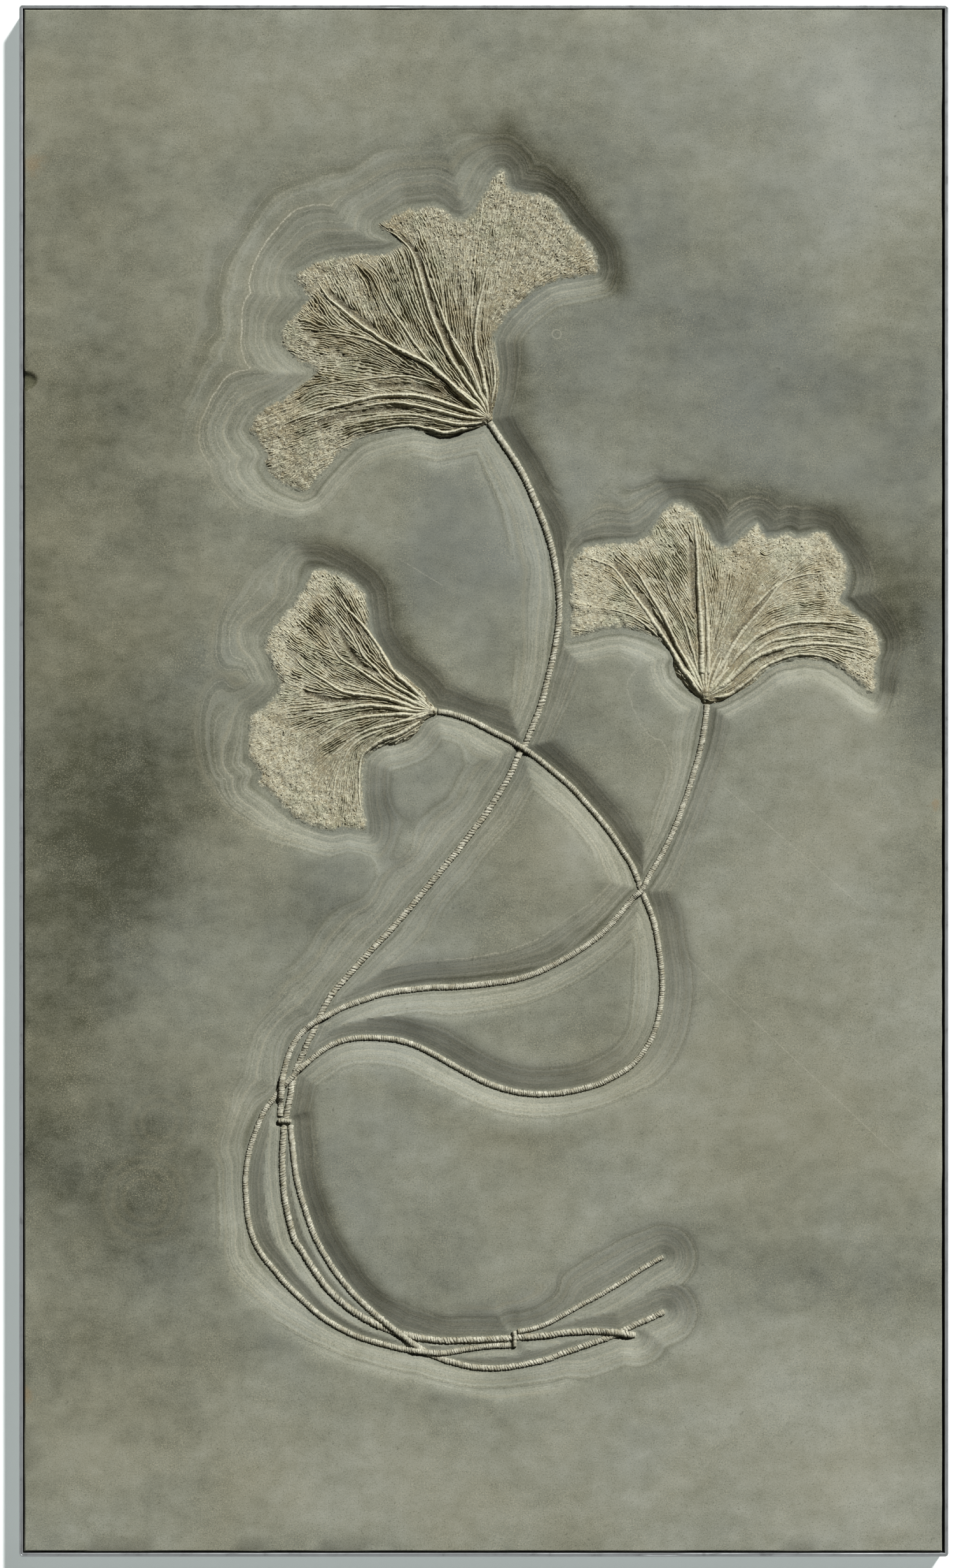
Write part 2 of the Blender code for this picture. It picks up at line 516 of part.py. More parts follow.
def build_stem(name, mat):
    line, run, lift, tall, knots = stem_profile(name)
    half = STEMS[name]["width"] / 2
    marks = stem_stations(run, line, knots, STEM_STATION)
    section = [(-1.0, 0.0), (-0.84, 0.62), (0.0, 1.0), (0.84, 0.62), (1.0, 0.0)]
    rings = []
    for s in marks:
        here = np.array([np.interp(s, run, line[:, 0]), np.interp(s, run, line[:, 1])])
        ahead = np.array([np.interp(s + 0.002, run, line[:, 0]),
                          np.interp(s + 0.002, run, line[:, 1])])
        back = np.array([np.interp(s - 0.002, run, line[:, 0]),
                         np.interp(s - 0.002, run, line[:, 1])])
        way = (ahead - back) / np.linalg.norm(ahead - back)
        side = np.array([way[1], -way[0]])
        low = FLOOR_Z + SEAT_GAP + np.interp(s, run, lift)
        high = np.interp(s, run, tall)
        rings.append([(*(here + side * half * u), low + high * v) for u, v in section])
    verts = [v for ring in rings for v in ring]
    n = len(section)
    faces = [tuple(range(n)), tuple(range(len(verts) - n, len(verts)))[::-1]]
    for r in range(len(rings) - 1):
        a, b = r * n, (r + 1) * n
        for k in range(n):
            m = (k + 1) % n
            faces.append((a + k, b + k, b + m))
            faces.append((a + k, b + m, a + m))
    print(name, len(marks), "rings,", len(faces) + 6, "faces")
    return add_object(name, verts, faces, mat, 0.6)


# ---- crowns: a low mat with its arms standing out of it as ridges ----
CREST_HALF = 0.0030      # half width of an arm's ridge
MAT_EDGE = 0.0020        # thickness of the mat at its outline
MAT_RISE = 0.0070        # how far in from the outline the mat comes to full thickness


def crown_heights(q, outline, cup, arms, furrows):
    """Height of the crown above its underside at the points q."""
    rim = distance_to_line(q, outline, True)
    from_cup = np.linalg.norm(q - cup, axis=1)
    near = np.exp(-(from_cup / 0.11) ** 2)
    mat = 0.0038 + 0.0032 * near
    mat = MAT_EDGE + (mat - MAT_EDGE) * np.clip(rim / MAT_RISE, 0.0, 1.0)
    ridge = np.zeros(len(q))
    for arm in arms:
        d = distance_to_line(q, arm, False)
        ridge = np.maximum(ridge, np.clip(1 - d / CREST_HALF, 0, 1) * (0.0030 + 0.0012 * near))
    for furrow in furrows:
        d = distance_to_line(q, furrow, False)
        ridge -= np.clip(1 - d / CREST_HALF, 0, 1) * 0.0018
    return np.maximum(mat + ridge * np.clip(rim / 0.003, 0.0, 1.0), MAT_EDGE)


def evenly(line, step):
    run = np.concatenate([[0], np.cumsum(np.linalg.norm(np.diff(line, axis=0), axis=1))])
    count = max(1, int(round(run[-1] / step)))
    marks = np.linspace(0, run[-1], count + 1)
    return np.stack([np.interp(marks, run, line[:, 0]), np.interp(marks, run, line[:, 1])], 1)


def build_crown(name, mat):
    plan = CROWNS[name]
    outline = np.array([place(p) for p in plan["outline"]])
    cup = np.array(place(plan["cup"]))
    arms = [evenly(smooth_line([place(p) for p in a], 0.002), 0.026) for a in plan["arms"]]
    furrows = [evenly(smooth_line([place(p) for p in a], 0.002), 0.030) for a in plan["furrows"]]
    lines = arms + furrows
    points, edges = [tuple(p) for p in outline], loop_edges(0, len(outline))
    spread = [np.array(p) for p in outline]

    def clear(p, gap):
        return min(float(np.hypot(*(q - p))) for q in spread) > gap

    for line in lines:                       # crests and furrow bottoms
        last = None
        for p in line:
            if not clear(p, 0.0034):
                last = None
                continue
            spread.append(p)
            points.append(tuple(p))
            if last is not None:
                edges.append((last, len(points) - 1))
            last = len(points) - 1
    crest_count = len(points)
    for line in lines:                       # feet on both sides of each
        for k, p in enumerate(line):
            way = line[min(k + 1, len(line) - 1)] - line[max(k - 1, 0)]
            side = np.array([way[1], -way[0]]) / np.linalg.norm(way)
            for turn in (-1, 1):
                foot = p + side * turn * (CREST_HALF + 0.0004)
                if clear(foot, 0.0030) and inside(foot[None], outline)[0]:
                    spread.append(foot)
                    points.append(tuple(foot))
    ring = evenly(np.vstack([outline, outline[:1]]), 0.021)[:-1]
    for k, p in enumerate(ring):             # the mat's shoulder, just inside the outline
        way = ring[(k + 1) % len(ring)] - ring[k - 1]
        side = np.array([way[1], -way[0]]) / np.linalg.norm(way)
        for turn in (-1, 1):
            q = p + side * turn * MAT_RISE
            if inside(q[None], outline)[0] and clear(q, 0.0045):
                spread.append(q)
                points.append(tuple(q))
    low, high = outline.min(axis=0), outline.max(axis=0)
    for i, x in enumerate(np.arange(low[0], high[0], 0.024)):       # low lumps over the mat
        for j, y in enumerate(np.arange(low[1], high[1], 0.024)):
            q = np.array([x + 0.006 * math.sin(3.1 * j), y + 0.006 * math.sin(2.3 * i)])
            if inside(q[None], outline)[0] and clear(q, 0.008):
                spread.append(q)
                points.append(tuple(q))
    flat, tris = triangulate(points, edges)
    rise = crown_heights(flat, outline, cup, lines[:len(arms)], lines[len(arms):])
    bump = 0.0005 * np.sin(flat[:, 0] * 410.0) * np.sin(flat[:, 1] * 370.0)
    on_rim = distance_to_line(flat, outline, True) < 0.001
    rise = rise + np.where(on_rim, 0.0, bump)
    floor = FLOOR_Z + SEAT_GAP
    verts = [(x, y, floor + h) for (x, y), h in zip(flat, rise)]
    faces = [tuple(t) for t in tris]
    border = {}
    for t in tris:
        for a, b in zip(t, t[1:] + t[:1]):
            border[(a, b)] = True
    rim_edges = [e for e in border if (e[1], e[0]) not in border]
    base = {}
    for a, _ in rim_edges:
        base[a] = len(verts)
        verts.append((flat[a][0], flat[a][1], floor))
    for a, b in rim_edges:
        faces.append((b, a, base[a]))
        faces.append((b, base[a], base[b]))
    order = [rim_edges[0][0]]
    after = dict(rim_edges)
    while after[order[-1]] != order[0]:
        order.append(after[order[-1]])
    under, under_tris = triangulate([tuple(flat[a]) for a in order],
                                    loop_edges(0, len(order)))
    for t in under_tris:
        faces.append(tuple(base[order[k]] for k in t)[::-1])
    print(name, crest_count, "ridge points,", len(faces), "faces")
    return add_object(name, verts, faces, mat)


# ---- slab: one block with the branching hollow ground into its face ----
def fossil_distance(q):
    best = np.full(len(q), 1e9)
    for plan in CROWNS.values():
        outline = np.array([place(p) for p in plan["outline"]])
        d = distance_to_line(q, outline, True)
        d[inside(q, outline)] = 0.0
        best = np.minimum(best, d)
    for name in STEMS:
        line = simplify(TRACKS[name][0], 0.0004)
        best = np.minimum(best, distance_to_line(q, line, False) - STEMS[name]["width"] / 2)
    return np.maximum(best, 0.0)


def local_reach(q):
    weights = np.zeros(len(q))
    total = np.zeros(len(q))
    for x, y, reach in REACH:
        p = np.array(place((x, y)))
        w = 1.0 / (((q - p) ** 2).sum(axis=1) + 0.016 ** 2) ** 2
        weights += w
        total += w * reach * UNIT
    return total / weights


def ground_share(q):
    """0 on the floor of the hollow, 1 on the slab's face."""
    d = np.maximum(fossil_distance(q) - FLOOR_LEDGE, 0.0)
    reach = local_reach(q) - FLOOR_LEDGE
    t = np.clip(d / reach, 0.0, 1.0)
    power = np.clip(1.35 + (reach - 0.042) / 0.125, 1.35, 2.5)
    return 1.0 - (1.0 - t) ** power


def build_slab(mat):
    step = 0.0032
    xs = np.arange(-0.600, 0.6001, step)
    ys = np.arange(-1.000, 1.0001, step)
    grid = np.stack(np.meshgrid(xs, ys, indexing="ij"), axis=-1).reshape(-1, 2)
    share = ground_share(grid).reshape(len(xs), len(ys))
    near = fossil_distance(grid).reshape(len(xs), len(ys))

    outline = np.array([place(p) for p in SLAB_OUTLINE])
    middle = np.array(SLAB_SHIFT)
    inset = []
    for k in range(len(outline)):                      # top edge, drawn in by the chamfer
        a, p, b = outline[k - 1], outline[k], outline[(k + 1) % len(outline)]
        one = np.array([(p - a)[1], -(p - a)[0]]) / np.linalg.norm(p - a)
        two = np.array([(b - p)[1], -(b - p)[0]]) / np.linalg.norm(b - p)
        if (middle - p) @ one < 0 and k < 5:
            one, two = -one, -two
        out = one + two
        inset.append(p + out / (1 + one @ two) * EDGE_CHAMFER)
    inset = np.array(inset)

    points = [tuple(p) for p in inset]
    heights = [FACE_Z] * len(inset)
    edges = loop_edges(0, len(inset))
    for values, level, height, tolerance, smallest in (
            (near, FLOOR_LEDGE, FLOOR_Z, 0.0007, 0.00),
            (share, 0.36, FLOOR_Z + 0.36 * HOLLOW_DEPTH, 0.0013, 0.06),
            (share, 0.70, FLOOR_Z + 0.70 * HOLLOW_DEPTH, 0.0016, 0.06),
            (share, 0.985, FACE_Z, 0.0030, 0.06)):
        for loop in level_loops(values, xs, ys, level):
            if len(loop) < 12:
                continue
            length = np.linalg.norm(np.diff(loop, axis=0), axis=1).sum()
            if length < smallest:
                continue
            slim = simplify_loop(loop, tolerance)
            if len(slim) < 3:
                continue
            edges += loop_edges(len(points), len(slim))
            points += [tuple(p) for p in slim]
            heights += [height] * len(slim)
    flat, tris = triangulate(points, edges)
    given = {(round(x * 2e5), round(y * 2e5)): h for (x, y), h in zip(points, heights)}
    tops = []
    for x, y in flat:
        key = (round(x * 2e5), round(y * 2e5))
        h = given.get(key)
        if h is None:
            h = FLOOR_Z + HOLLOW_DEPTH * float(ground_share(np.array([[x, y]]))[0])
        tops.append(h)
    verts = [(x, y, h) for (x, y), h in zip(flat, tops)]
    faces = [tuple(t) for t in tris]
    n = len(inset)
    rim = [int(np.argmin(np.abs(flat - p).sum(axis=1))) for p in inset]
    side = len(verts)
    verts += [(x, y, FACE_Z - EDGE_CHAMFER) for x, y in outline]
    base = len(verts)
    verts += [(x, y, BACK_Z) for x, y in outline]
    for k in range(n):
        m = (k + 1) % n
        faces += [(rim[k], rim[m], side + m), (rim[k], side + m, side + k)]
        faces += [(side + k, side + m, base + m), (side + k, base + m, base + k)]
    _, under = triangulate([tuple(p) for p in outline], loop_edges(0, n))
    faces += [tuple(base + k for k in t)[::-1] for t in under]
    print("slab", len(flat), "points,", len(faces), "faces")
    return add_object("slab", verts, faces, mat)


# ---- frame: a thin angle round the slab, its flange turned in under it ----
def build_frame(mat):
    left, top = place((37.7, 14.6))
    right, bottom = place((1481.3, 2438.4))
    x0, x1 = left - GAP_LEFT - FRAME_WALL, right + GAP_RIGHT + FRAME_WALL
    y0, y1 = bottom - GAP_BOTTOM - FRAME_WALL, top + GAP_TOP + FRAME_WALL

    def ring(inset, rounding):
        a, b, c, d = x0 + inset, y0 + inset, x1 - inset, y1 - inset
        out = []
        for cx, cy, turn in ((c - rounding, d - rounding, 0), (a + rounding, d - rounding, 1),
                             (a + rounding, b + rounding, 2), (c - rounding, b + rounding, 3)):
            for k in range(4):
                angle = math.pi / 2 * (turn + k / 3)
                out.append((cx + rounding * math.cos(angle), cy + rounding * math.sin(angle)))
        return out

    wall, small = FRAME_WALL, 0.0006
    levels = [                                         # (ring, height), round the section
        (ring(0.0, CORNER_ROUND), 0.0),
        (ring(0.0, CORNER_ROUND), FRAME_TOP_Z - small),
        (ring(small, CORNER_ROUND - small), FRAME_TOP_Z),
        (ring(wall, 0.0004), FRAME_TOP_Z),
        (ring(wall, 0.0004), FLANGE_THICK),
        (ring(wall + FLANGE_REACH, 0.0004), FLANGE_THICK),
        (ring(wall + FLANGE_REACH, 0.0004), 0.0),
    ]
    n = len(levels[0][0])
    verts = [(x, y, z) for loop, z in levels for x, y in loop]
    faces = []
    for r in range(len(levels)):
        a, b = r * n, ((r + 1) % len(levels)) * n
        for k in range(n):
            m = (k + 1) % n
            faces.append((a + k, a + m, b + m, b + k))
    return add_object("frame", verts, faces, mat)


for old in list(bpy.data.objects):
    bpy.data.objects.remove(old, do_unlink=True)

TRACKS = {name: stem_track(name) for name in STEMS}
slab_stone = material("shale", COLOURS["slab"], 0.85, 0.0)
crown_stone = material("crown_calcite", COLOURS["crown"], 0.75, 0.0)
stem_stone = material("stem_calcite", COLOURS["stem"], 0.70, 0.0)
frame_metal = material("frame_metal", COLOURS["frame"], 0.45, 0.9)

build_frame(frame_metal)
build_slab(slab_stone)
for crown in CROWNS:
    build_crown(crown, crown_stone)
for stem in STEMS:
    build_stem(stem, stem_stone)
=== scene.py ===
import math
from itertools import product

import bpy
import numpy as np
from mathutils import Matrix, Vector
from mathutils.geometry import delaunay_2d_cdt
from mathutils.kdtree import KDTree


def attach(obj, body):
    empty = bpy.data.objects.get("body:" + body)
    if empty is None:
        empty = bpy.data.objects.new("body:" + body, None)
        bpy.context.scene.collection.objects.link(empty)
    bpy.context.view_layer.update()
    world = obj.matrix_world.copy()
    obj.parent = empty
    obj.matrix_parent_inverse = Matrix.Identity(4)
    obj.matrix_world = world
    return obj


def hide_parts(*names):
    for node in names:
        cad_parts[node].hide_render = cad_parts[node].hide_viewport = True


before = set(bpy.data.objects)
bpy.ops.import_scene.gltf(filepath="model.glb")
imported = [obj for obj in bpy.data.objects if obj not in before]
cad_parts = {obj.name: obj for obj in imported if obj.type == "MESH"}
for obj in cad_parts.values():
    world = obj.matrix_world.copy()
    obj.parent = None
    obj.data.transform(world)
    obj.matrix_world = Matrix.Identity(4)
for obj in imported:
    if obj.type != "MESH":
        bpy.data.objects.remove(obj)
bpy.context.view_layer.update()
print("frame loaded:", len(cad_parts), "solids")

# the layout is drawn in plan units of 0.8313 mm, x to the right and y down,
# with the middle of the slab at planMiddle
plan = {
    "unit": 0.0008313,
    "planMiddle": (759.5, 1226.5),
    "slabShift": (-0.00085, 0.0004),
}


def place(point):
    return ((point[0] - plan["planMiddle"][0]) * plan["unit"] + plan["slabShift"][0],
            (plan["planMiddle"][1] - point[1]) * plan["unit"] + plan["slabShift"][1])


def placeAll(points):
    return np.array([place(p) for p in points], float)


# lines and points on the plane
def smoothLine(points, step):
    p = [np.array(q, float) for q in points]
    p = [2 * p[0] - p[1]] + p + [2 * p[-1] - p[-2]]
    out = [p[1]]
    for i in range(1, len(p) - 2):
        n = max(1, int(round(np.linalg.norm(p[i + 1] - p[i]) / step)))
        for k in range(1, n + 1):
            t = k / n
            out.append(0.5 * (2 * p[i] + (p[i + 1] - p[i - 1]) * t
                              + (2 * p[i - 1] - 5 * p[i] + 4 * p[i + 1] - p[i + 2]) * t * t
                              + (3 * p[i] - p[i - 1] - 3 * p[i + 1] + p[i + 2]) * t ** 3))
    return np.array(out)


def runLength(line):
    return np.concatenate([[0.0], np.cumsum(np.linalg.norm(np.diff(line, axis=0), axis=1))])


def pointsAt(marks, run, line):
    return np.stack([np.interp(marks, run, line[:, 0]), np.interp(marks, run, line[:, 1])], 1)


def evenly(line, step):
    run = runLength(line)
    count = max(1, int(round(run[-1] / step)))
    return pointsAt(np.linspace(0, run[-1], count + 1), run, line)


def headings(line, soft=0.0):
    # which way a line runs at each of its points
    way = np.gradient(line, axis=0)
    return way / (np.linalg.norm(way, axis=1)[:, None] + soft)


def rightOf(way):
    return np.stack([way[:, 1], -way[:, 0]], 1)


def distanceToLine(q, line, closed):
    ends = np.vstack([line, line[:1]]) if closed else line
    best = np.full(len(q), 1e9)
    for a, b in zip(ends[:-1], ends[1:]):
        ab = b - a
        t = np.clip(((q - a) @ ab) / max(float(ab @ ab), 1e-18), 0.0, 1.0)
        d = q - a - t[:, None] * ab
        np.minimum(best, np.einsum("ij,ij->i", d, d), out=best)
    return np.sqrt(best)


def insideLoop(q, loop):
    hit = np.zeros(len(q), bool)
    for a, b in zip(loop, np.roll(loop, -1, axis=0)):
        spans = (a[1] > q[:, 1]) != (b[1] > q[:, 1])
        with np.errstate(divide="ignore", invalid="ignore"):
            x = a[0] + (q[:, 1] - a[1]) * (b[0] - a[0]) / (b[1] - a[1])
        hit ^= spans & (q[:, 0] < x)
    return hit


def waves(q, size, seed):
    # smooth random heights between -1 and 1, lumps about size metres across
    rng = np.random.default_rng(seed)
    table = rng.uniform(-1.0, 1.0, (64, 64))
    x, y = q[:, 0] / size + 13.7, q[:, 1] / size + 29.3
    i, j = np.floor(x).astype(int), np.floor(y).astype(int)
    u, v = x - i, y - j
    u, v = u * u * (3 - 2 * u), v * v * (3 - 2 * v)
    a, b = table[i % 64, j % 64], table[(i + 1) % 64, j % 64]
    c, d = table[i % 64, (j + 1) % 64], table[(i + 1) % 64, (j + 1) % 64]
    return (a * (1 - u) + b * u) * (1 - v) + (c * (1 - u) + d * u) * v


def nearestTree(points):
    tree = KDTree(len(points))
    for k, p in enumerate(points):
        tree.insert((p[0], p[1], 0.0), k)
    tree.balance()
    return tree


def steps(x, low, high):
    t = np.clip((x - low) / (high - low), 0.0, 1.0)
    return t * t * (3 - 2 * t)


def tubeFaces(start, rows, n):
    # the walls of a tube of rows with n points each, then its two ends
    walls = []
    for k in range(rows - 1):
        a, b = start + k * n, start + (k + 1) * n
        walls += [(a + m, b + m, b + (m + 1) % n, a + (m + 1) % n) for m in range(n)]
    last = start + (rows - 1) * n
    return walls, [tuple(range(start, start + n)), tuple(range(last, last + n))[::-1]]


def pieceTitle(node, part):
    first, *others = node.split("_")
    return first + "".join(word.capitalize() for word in others) + part


def addPiece(name, verts, faces, stone, sharp=None, marks=None):
    mesh = bpy.data.meshes.new(name)
    mesh.from_pydata(np.asarray(verts, float).tolist(), [], faces)
    for title, values in (marks or {}).items():
        mark = mesh.attributes.new(title, "FLOAT", "POINT")
        mark.data.foreach_set("value", np.asarray(values, np.float32))
    mesh.materials.append(stone)
    mesh.shade_smooth()
    if sharp:
        mesh.set_sharp_from_angle(angle=sharp)
    mesh.update()
    piece = bpy.data.objects.new(name, mesh)
    bpy.context.scene.collection.objects.link(piece)
    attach(piece, "root")
    count = sum(len(p.vertices) - 2 for p in mesh.polygons)
    print("  piece", name, count, "triangles")
    return piece


# short ways to wire a material's nodes
def newStone(name, roughness, shown):
    stone = bpy.data.materials.new(name)
    stone.use_nodes = True
    stone.diffuse_color = (*shown, 1.0)
    tree = stone.node_tree
    shader = tree.nodes["Principled BSDF"]
    shader.inputs["Roughness"].default_value = roughness
    return stone, tree, shader


def feed(tree, socket, value):
    if isinstance(value, bpy.types.NodeSocket):
        tree.links.new(value, socket)
    else:
        socket.default_value = value


def sums(tree, kind, a, b=0.0, c=None):
    n = tree.nodes.new("ShaderNodeMath")
    n.operation = kind
    feed(tree, n.inputs[0], a)
    feed(tree, n.inputs[1], b)
    if c is not None:
        feed(tree, n.inputs[2], c)
    return n.outputs[0]


def times(tree, a, b):
    return sums(tree, "MULTIPLY", a, b)


def sway(tree, noise, much, value):
    # a value pushed up and down by a noise
    return sums(tree, "MULTIPLY_ADD", sums(tree, "SUBTRACT", noise, 0.5), much, value)


def band(tree, value, low, high, start=0.0, end=1.0, soft=True):
    n = tree.nodes.new("ShaderNodeMapRange")
    n.interpolation_type = "SMOOTHSTEP" if soft else "LINEAR"
    feed(tree, n.inputs["Value"], value)
    for key, v in (("From Min", low), ("From Max", high), ("To Min", start), ("To Max", end)):
        n.inputs[key].default_value = v
    return n.outputs["Result"]


def evenBand(tree, value, low, high, start=0.0, end=1.0):
    return band(tree, value, low, high, start, end, False)


def blendColour(tree, amount, a, b):
    n = tree.nodes.new("ShaderNodeMix")
    n.data_type = "RGBA"
    feed(tree, n.inputs["Factor"], amount)
    for key, tone in (("A", a), ("B", b)):
        feed(tree, n.inputs[key], (*tone, 1.0) if isinstance(tone, tuple) else tone)
    return n.outputs["Result"]


def spot(tree):
    return tree.nodes.new("ShaderNodeTexCoord").outputs["Object"]


def mark(tree, title):
    n = tree.nodes.new("ShaderNodeAttribute")
    n.attribute_name = title
    return n.outputs["Fac"]


def cloud(tree, where, scale, detail=3.0, rough=0.5, stretch=None, turn=0.0):
    n = tree.nodes.new("ShaderNodeTexNoise")
    n.inputs["Scale"].default_value = scale
    n.inputs["Detail"].default_value = detail
    n.inputs["Roughness"].default_value = rough
    if stretch:
        m = tree.nodes.new("ShaderNodeMapping")
        m.inputs["Scale"].default_value = stretch
        m.inputs["Rotation"].default_value = (0.0, 0.0, math.radians(-turn))
        tree.links.new(where, m.inputs["Vector"])
        where = m.outputs["Vector"]
    tree.links.new(where, n.inputs["Vector"])
    return n.outputs["Fac"]


def lineNoise(tree, value, scale, detail=2.0):
    n = tree.nodes.new("ShaderNodeTexNoise")
    n.noise_dimensions = "1D"
    feed(tree, n.inputs["W"], value)
    n.inputs["Scale"].default_value = scale
    n.inputs["Detail"].default_value = detail
    return n.outputs["Fac"]


def vectorSum(tree, kind, a, b, out="Vector"):
    n = tree.nodes.new("ShaderNodeVectorMath")
    n.operation = kind
    feed(tree, n.inputs[0], a)
    feed(tree, n.inputs[1], b)
    return n.outputs[out]


def ringMark(tree, at, middle, radius, half):
    # 1 on a circle drawn on the face
    away = vectorSum(tree, "DISTANCE", vectorSum(tree, "MULTIPLY", at, (1.0, 1.0, 0.0)),
                     (*middle, 0.0), "Value")
    off = sums(tree, "ABSOLUTE", sums(tree, "SUBTRACT", away, radius))
    return band(tree, off, half, 0.0)


def lineMark(tree, at, start, end, half):
    # 1 on a straight line drawn on the face
    dx, dy = end[0] - start[0], end[1] - start[1]
    run = math.hypot(dx, dy)
    shifted = vectorSum(tree, "SUBTRACT", at, (*start, 0.0))
    along = vectorSum(tree, "DOT_PRODUCT", shifted, (dx / run, dy / run, 0.0), "Value")
    across = vectorSum(tree, "DOT_PRODUCT", shifted, (-dy / run, dx / run, 0.0), "Value")
    inside = times(tree, band(tree, along, 0.0, 0.01), band(tree, along, run, run - 0.01))
    return times(tree, inside, band(tree, sums(tree, "ABSOLUTE", across), half, 0.0))


def coatOf(tree, shader, tones, first):
    # starts a stone's colour; each call of what it returns lays one more tone over it
    top = [tones[first]]

    def lay(amount, tone):
        top[0] = blendColour(tree, amount, top[0], tones[tone] if isinstance(tone, str) else tone)
        tree.links.new(top[0], shader.inputs["Base Color"])

    return lay


def relief(tree, shader, layers):
    # each layer is (height, how deep in metres)
    last = None
    for height, depth in layers:
        n = tree.nodes.new("ShaderNodeBump")
        n.inputs["Strength"].default_value = 1.0
        n.inputs["Distance"].default_value = depth
        tree.links.new(height, n.inputs["Height"])
        if last is not None:
            tree.links.new(last, n.inputs["Normal"])
        last = n.outputs["Normal"]
    tree.links.new(last, shader.inputs["Normal"])


# the slab: a flat face with the branching hollow ground round the animals
slab = {
    "faceZ": 0.0450,
    "backZ": 0.0053,
    "chamfer": 0.0020,
    "hollowDepth": 0.0160,
    "ledge": 0.0012,            # level strip of floor kept round every animal
    "softTop": 1.02,            # the slope dies away this far past its noted reach
    "knee": 0.50,               # a narrow slope is even up to this share of its width
    "steep": 1.45,
    "seatGap": 0.0003,
    "corners": ((37.7, 14.6), (1481.3, 2438.4)),
    "chip": [(30, 581), (40, 583), (52, 586), (59, 594), (57, 605), (49, 611), (40, 613), (30, 614)],
    "chipDeep": 0.0060,
    "bankShadeWarm": 1.3,             # the painted shade on the banks is browner too
    "chipShade": 0.80,           # the chip's hollow is painted darker as shade; its broken stone is browner than the face
    "chipWarm": 1.20,
    "cell": 0.0027,             # finest mesh cell
    "block": 8,                 # cells along the widest block
    "even": 0.00004,            # a block may miss the ground by this much, or a little more
    "mostTriangles": 190000,
    "perBlock": 2.35,           # triangles that a block comes to
    "fineNear": 3.5,            # finest cells this near the pale bed's line, millimetres
    "terrace": 0.00010,         # little steps where the beds are cut
    "terracePitch": 0.0031,
    "swell": 0.00035,           # slow unevenness of the ground face
    "wornEdge": ((0.45, 0.10), (1.0, 0.55), (1.0, 1.0)),     # out and down, in chamfers
    "sideMarks": {"bed": 16.0, "share": 1.0, "rise": 0.02},
}
floorZ = slab["faceZ"] - slab["hollowDepth"]

# how far the slope reaches from the nearest animal, noted place by place (x, y, reach)
reaches = [
    (1000, 430, 48), (930, 340, 50), (890, 290, 52), (850, 240, 72), (785, 180, 80),
    (700, 190, 130), (640, 170, 140), (560, 200, 170), (470, 250, 205), (380, 300, 225),
    (300, 420, 225), (240, 520, 215), (220, 620, 180), (250, 700, 150), (280, 780, 135),
    (340, 820, 110), (440, 830, 65), (490, 815, 50), (560, 760, 60), (640, 735, 60),
    (720, 730, 70), (760, 760, 85), (790, 850, 90), (800, 950, 85), (790, 1050, 80),
    (790, 1120, 60), (870, 540, 60), (830, 620, 46), (900, 490, 62), (960, 480, 60),
    (835, 680, 46), (880, 750, 48), (910, 740, 95), (960, 740, 130), (1010, 750, 95),
    (1065, 745, 52), (1130, 770, 65), (1190, 770, 72), (1250, 790, 62), (1310, 800, 52),
    (1375, 880, 50), (1385, 950, 52), (1425, 1010, 42), (1400, 1110, 40), (1370, 1140, 40),
    (1260, 1075, 48), (1190, 1110, 45), (1150, 1150, 45), (1120, 1240, 48), (1080, 1340, 50),
    (1055, 1400, 55), (1040, 1170, 62), (1010, 1260, 62), (960, 1040, 60), (900, 1060, 60),
    (860, 1160, 50), (900, 1180, 45), (960, 1250, 45), (1000, 1320, 45), (840, 1240, 60),
    (930, 1340, 58), (960, 1400, 60), (760, 1340, 55), (700, 1400, 55), (620, 1500, 55),
    (700, 1510, 55), (820, 1480, 60), (900, 1440, 60), (780, 1180, 70), (740, 1220, 115),
    (680, 1300, 135), (620, 1380, 145), (540, 1460, 145), (470, 1540, 125), (430, 1600, 100),
    (370, 1680, 90), (350, 1780, 72), (330, 1860, 64), (330, 1950, 70), (370, 2020, 75),
    (450, 2085, 70), (560, 2150, 58), (700, 2185, 55), (850, 2180, 66), (960, 2130, 70),
    (1060, 2080, 78), (1060, 1960, 80), (960, 1990, 95), (860, 2030, 85), (760, 2060, 72),
    (660, 2060, 60), (600, 2020, 50), (540, 1950, 48), (500, 1850, 45), (490, 1760, 48),
    (480, 1720, 50), (540, 1690, 55), (620, 1680, 56), (740, 1730, 50), (850, 1750, 50),
    (950, 1730, 48), (1050, 1640, 72), (1075, 1550, 72), (1060, 1460, 62), (1000, 1550, 70),
    (960, 1640, 60), (850, 1660, 60), (750, 1640, 58), (640, 1590, 50), (720, 1600, 62),
    (850, 1560, 56), (960, 1490, 54), (500, 840, 54), (590, 870, 52), (640, 950, 50),
    (680, 1020, 54), (710, 1060, 55), (750, 1090, 48), (440, 860, 90), (380, 900, 125),
    (320, 960, 140), (280, 1050, 135), (255, 1140, 130), (280, 1230, 120), (340, 1310, 95),
    (420, 1360, 68), (480, 1365, 54), (560, 1355, 48), (620, 1330, 70), (640, 1240, 60),
    (640, 1190, 60), (700, 1170, 60), (868, 800, 44), (888, 870, 44),
    (896, 930, 46)]

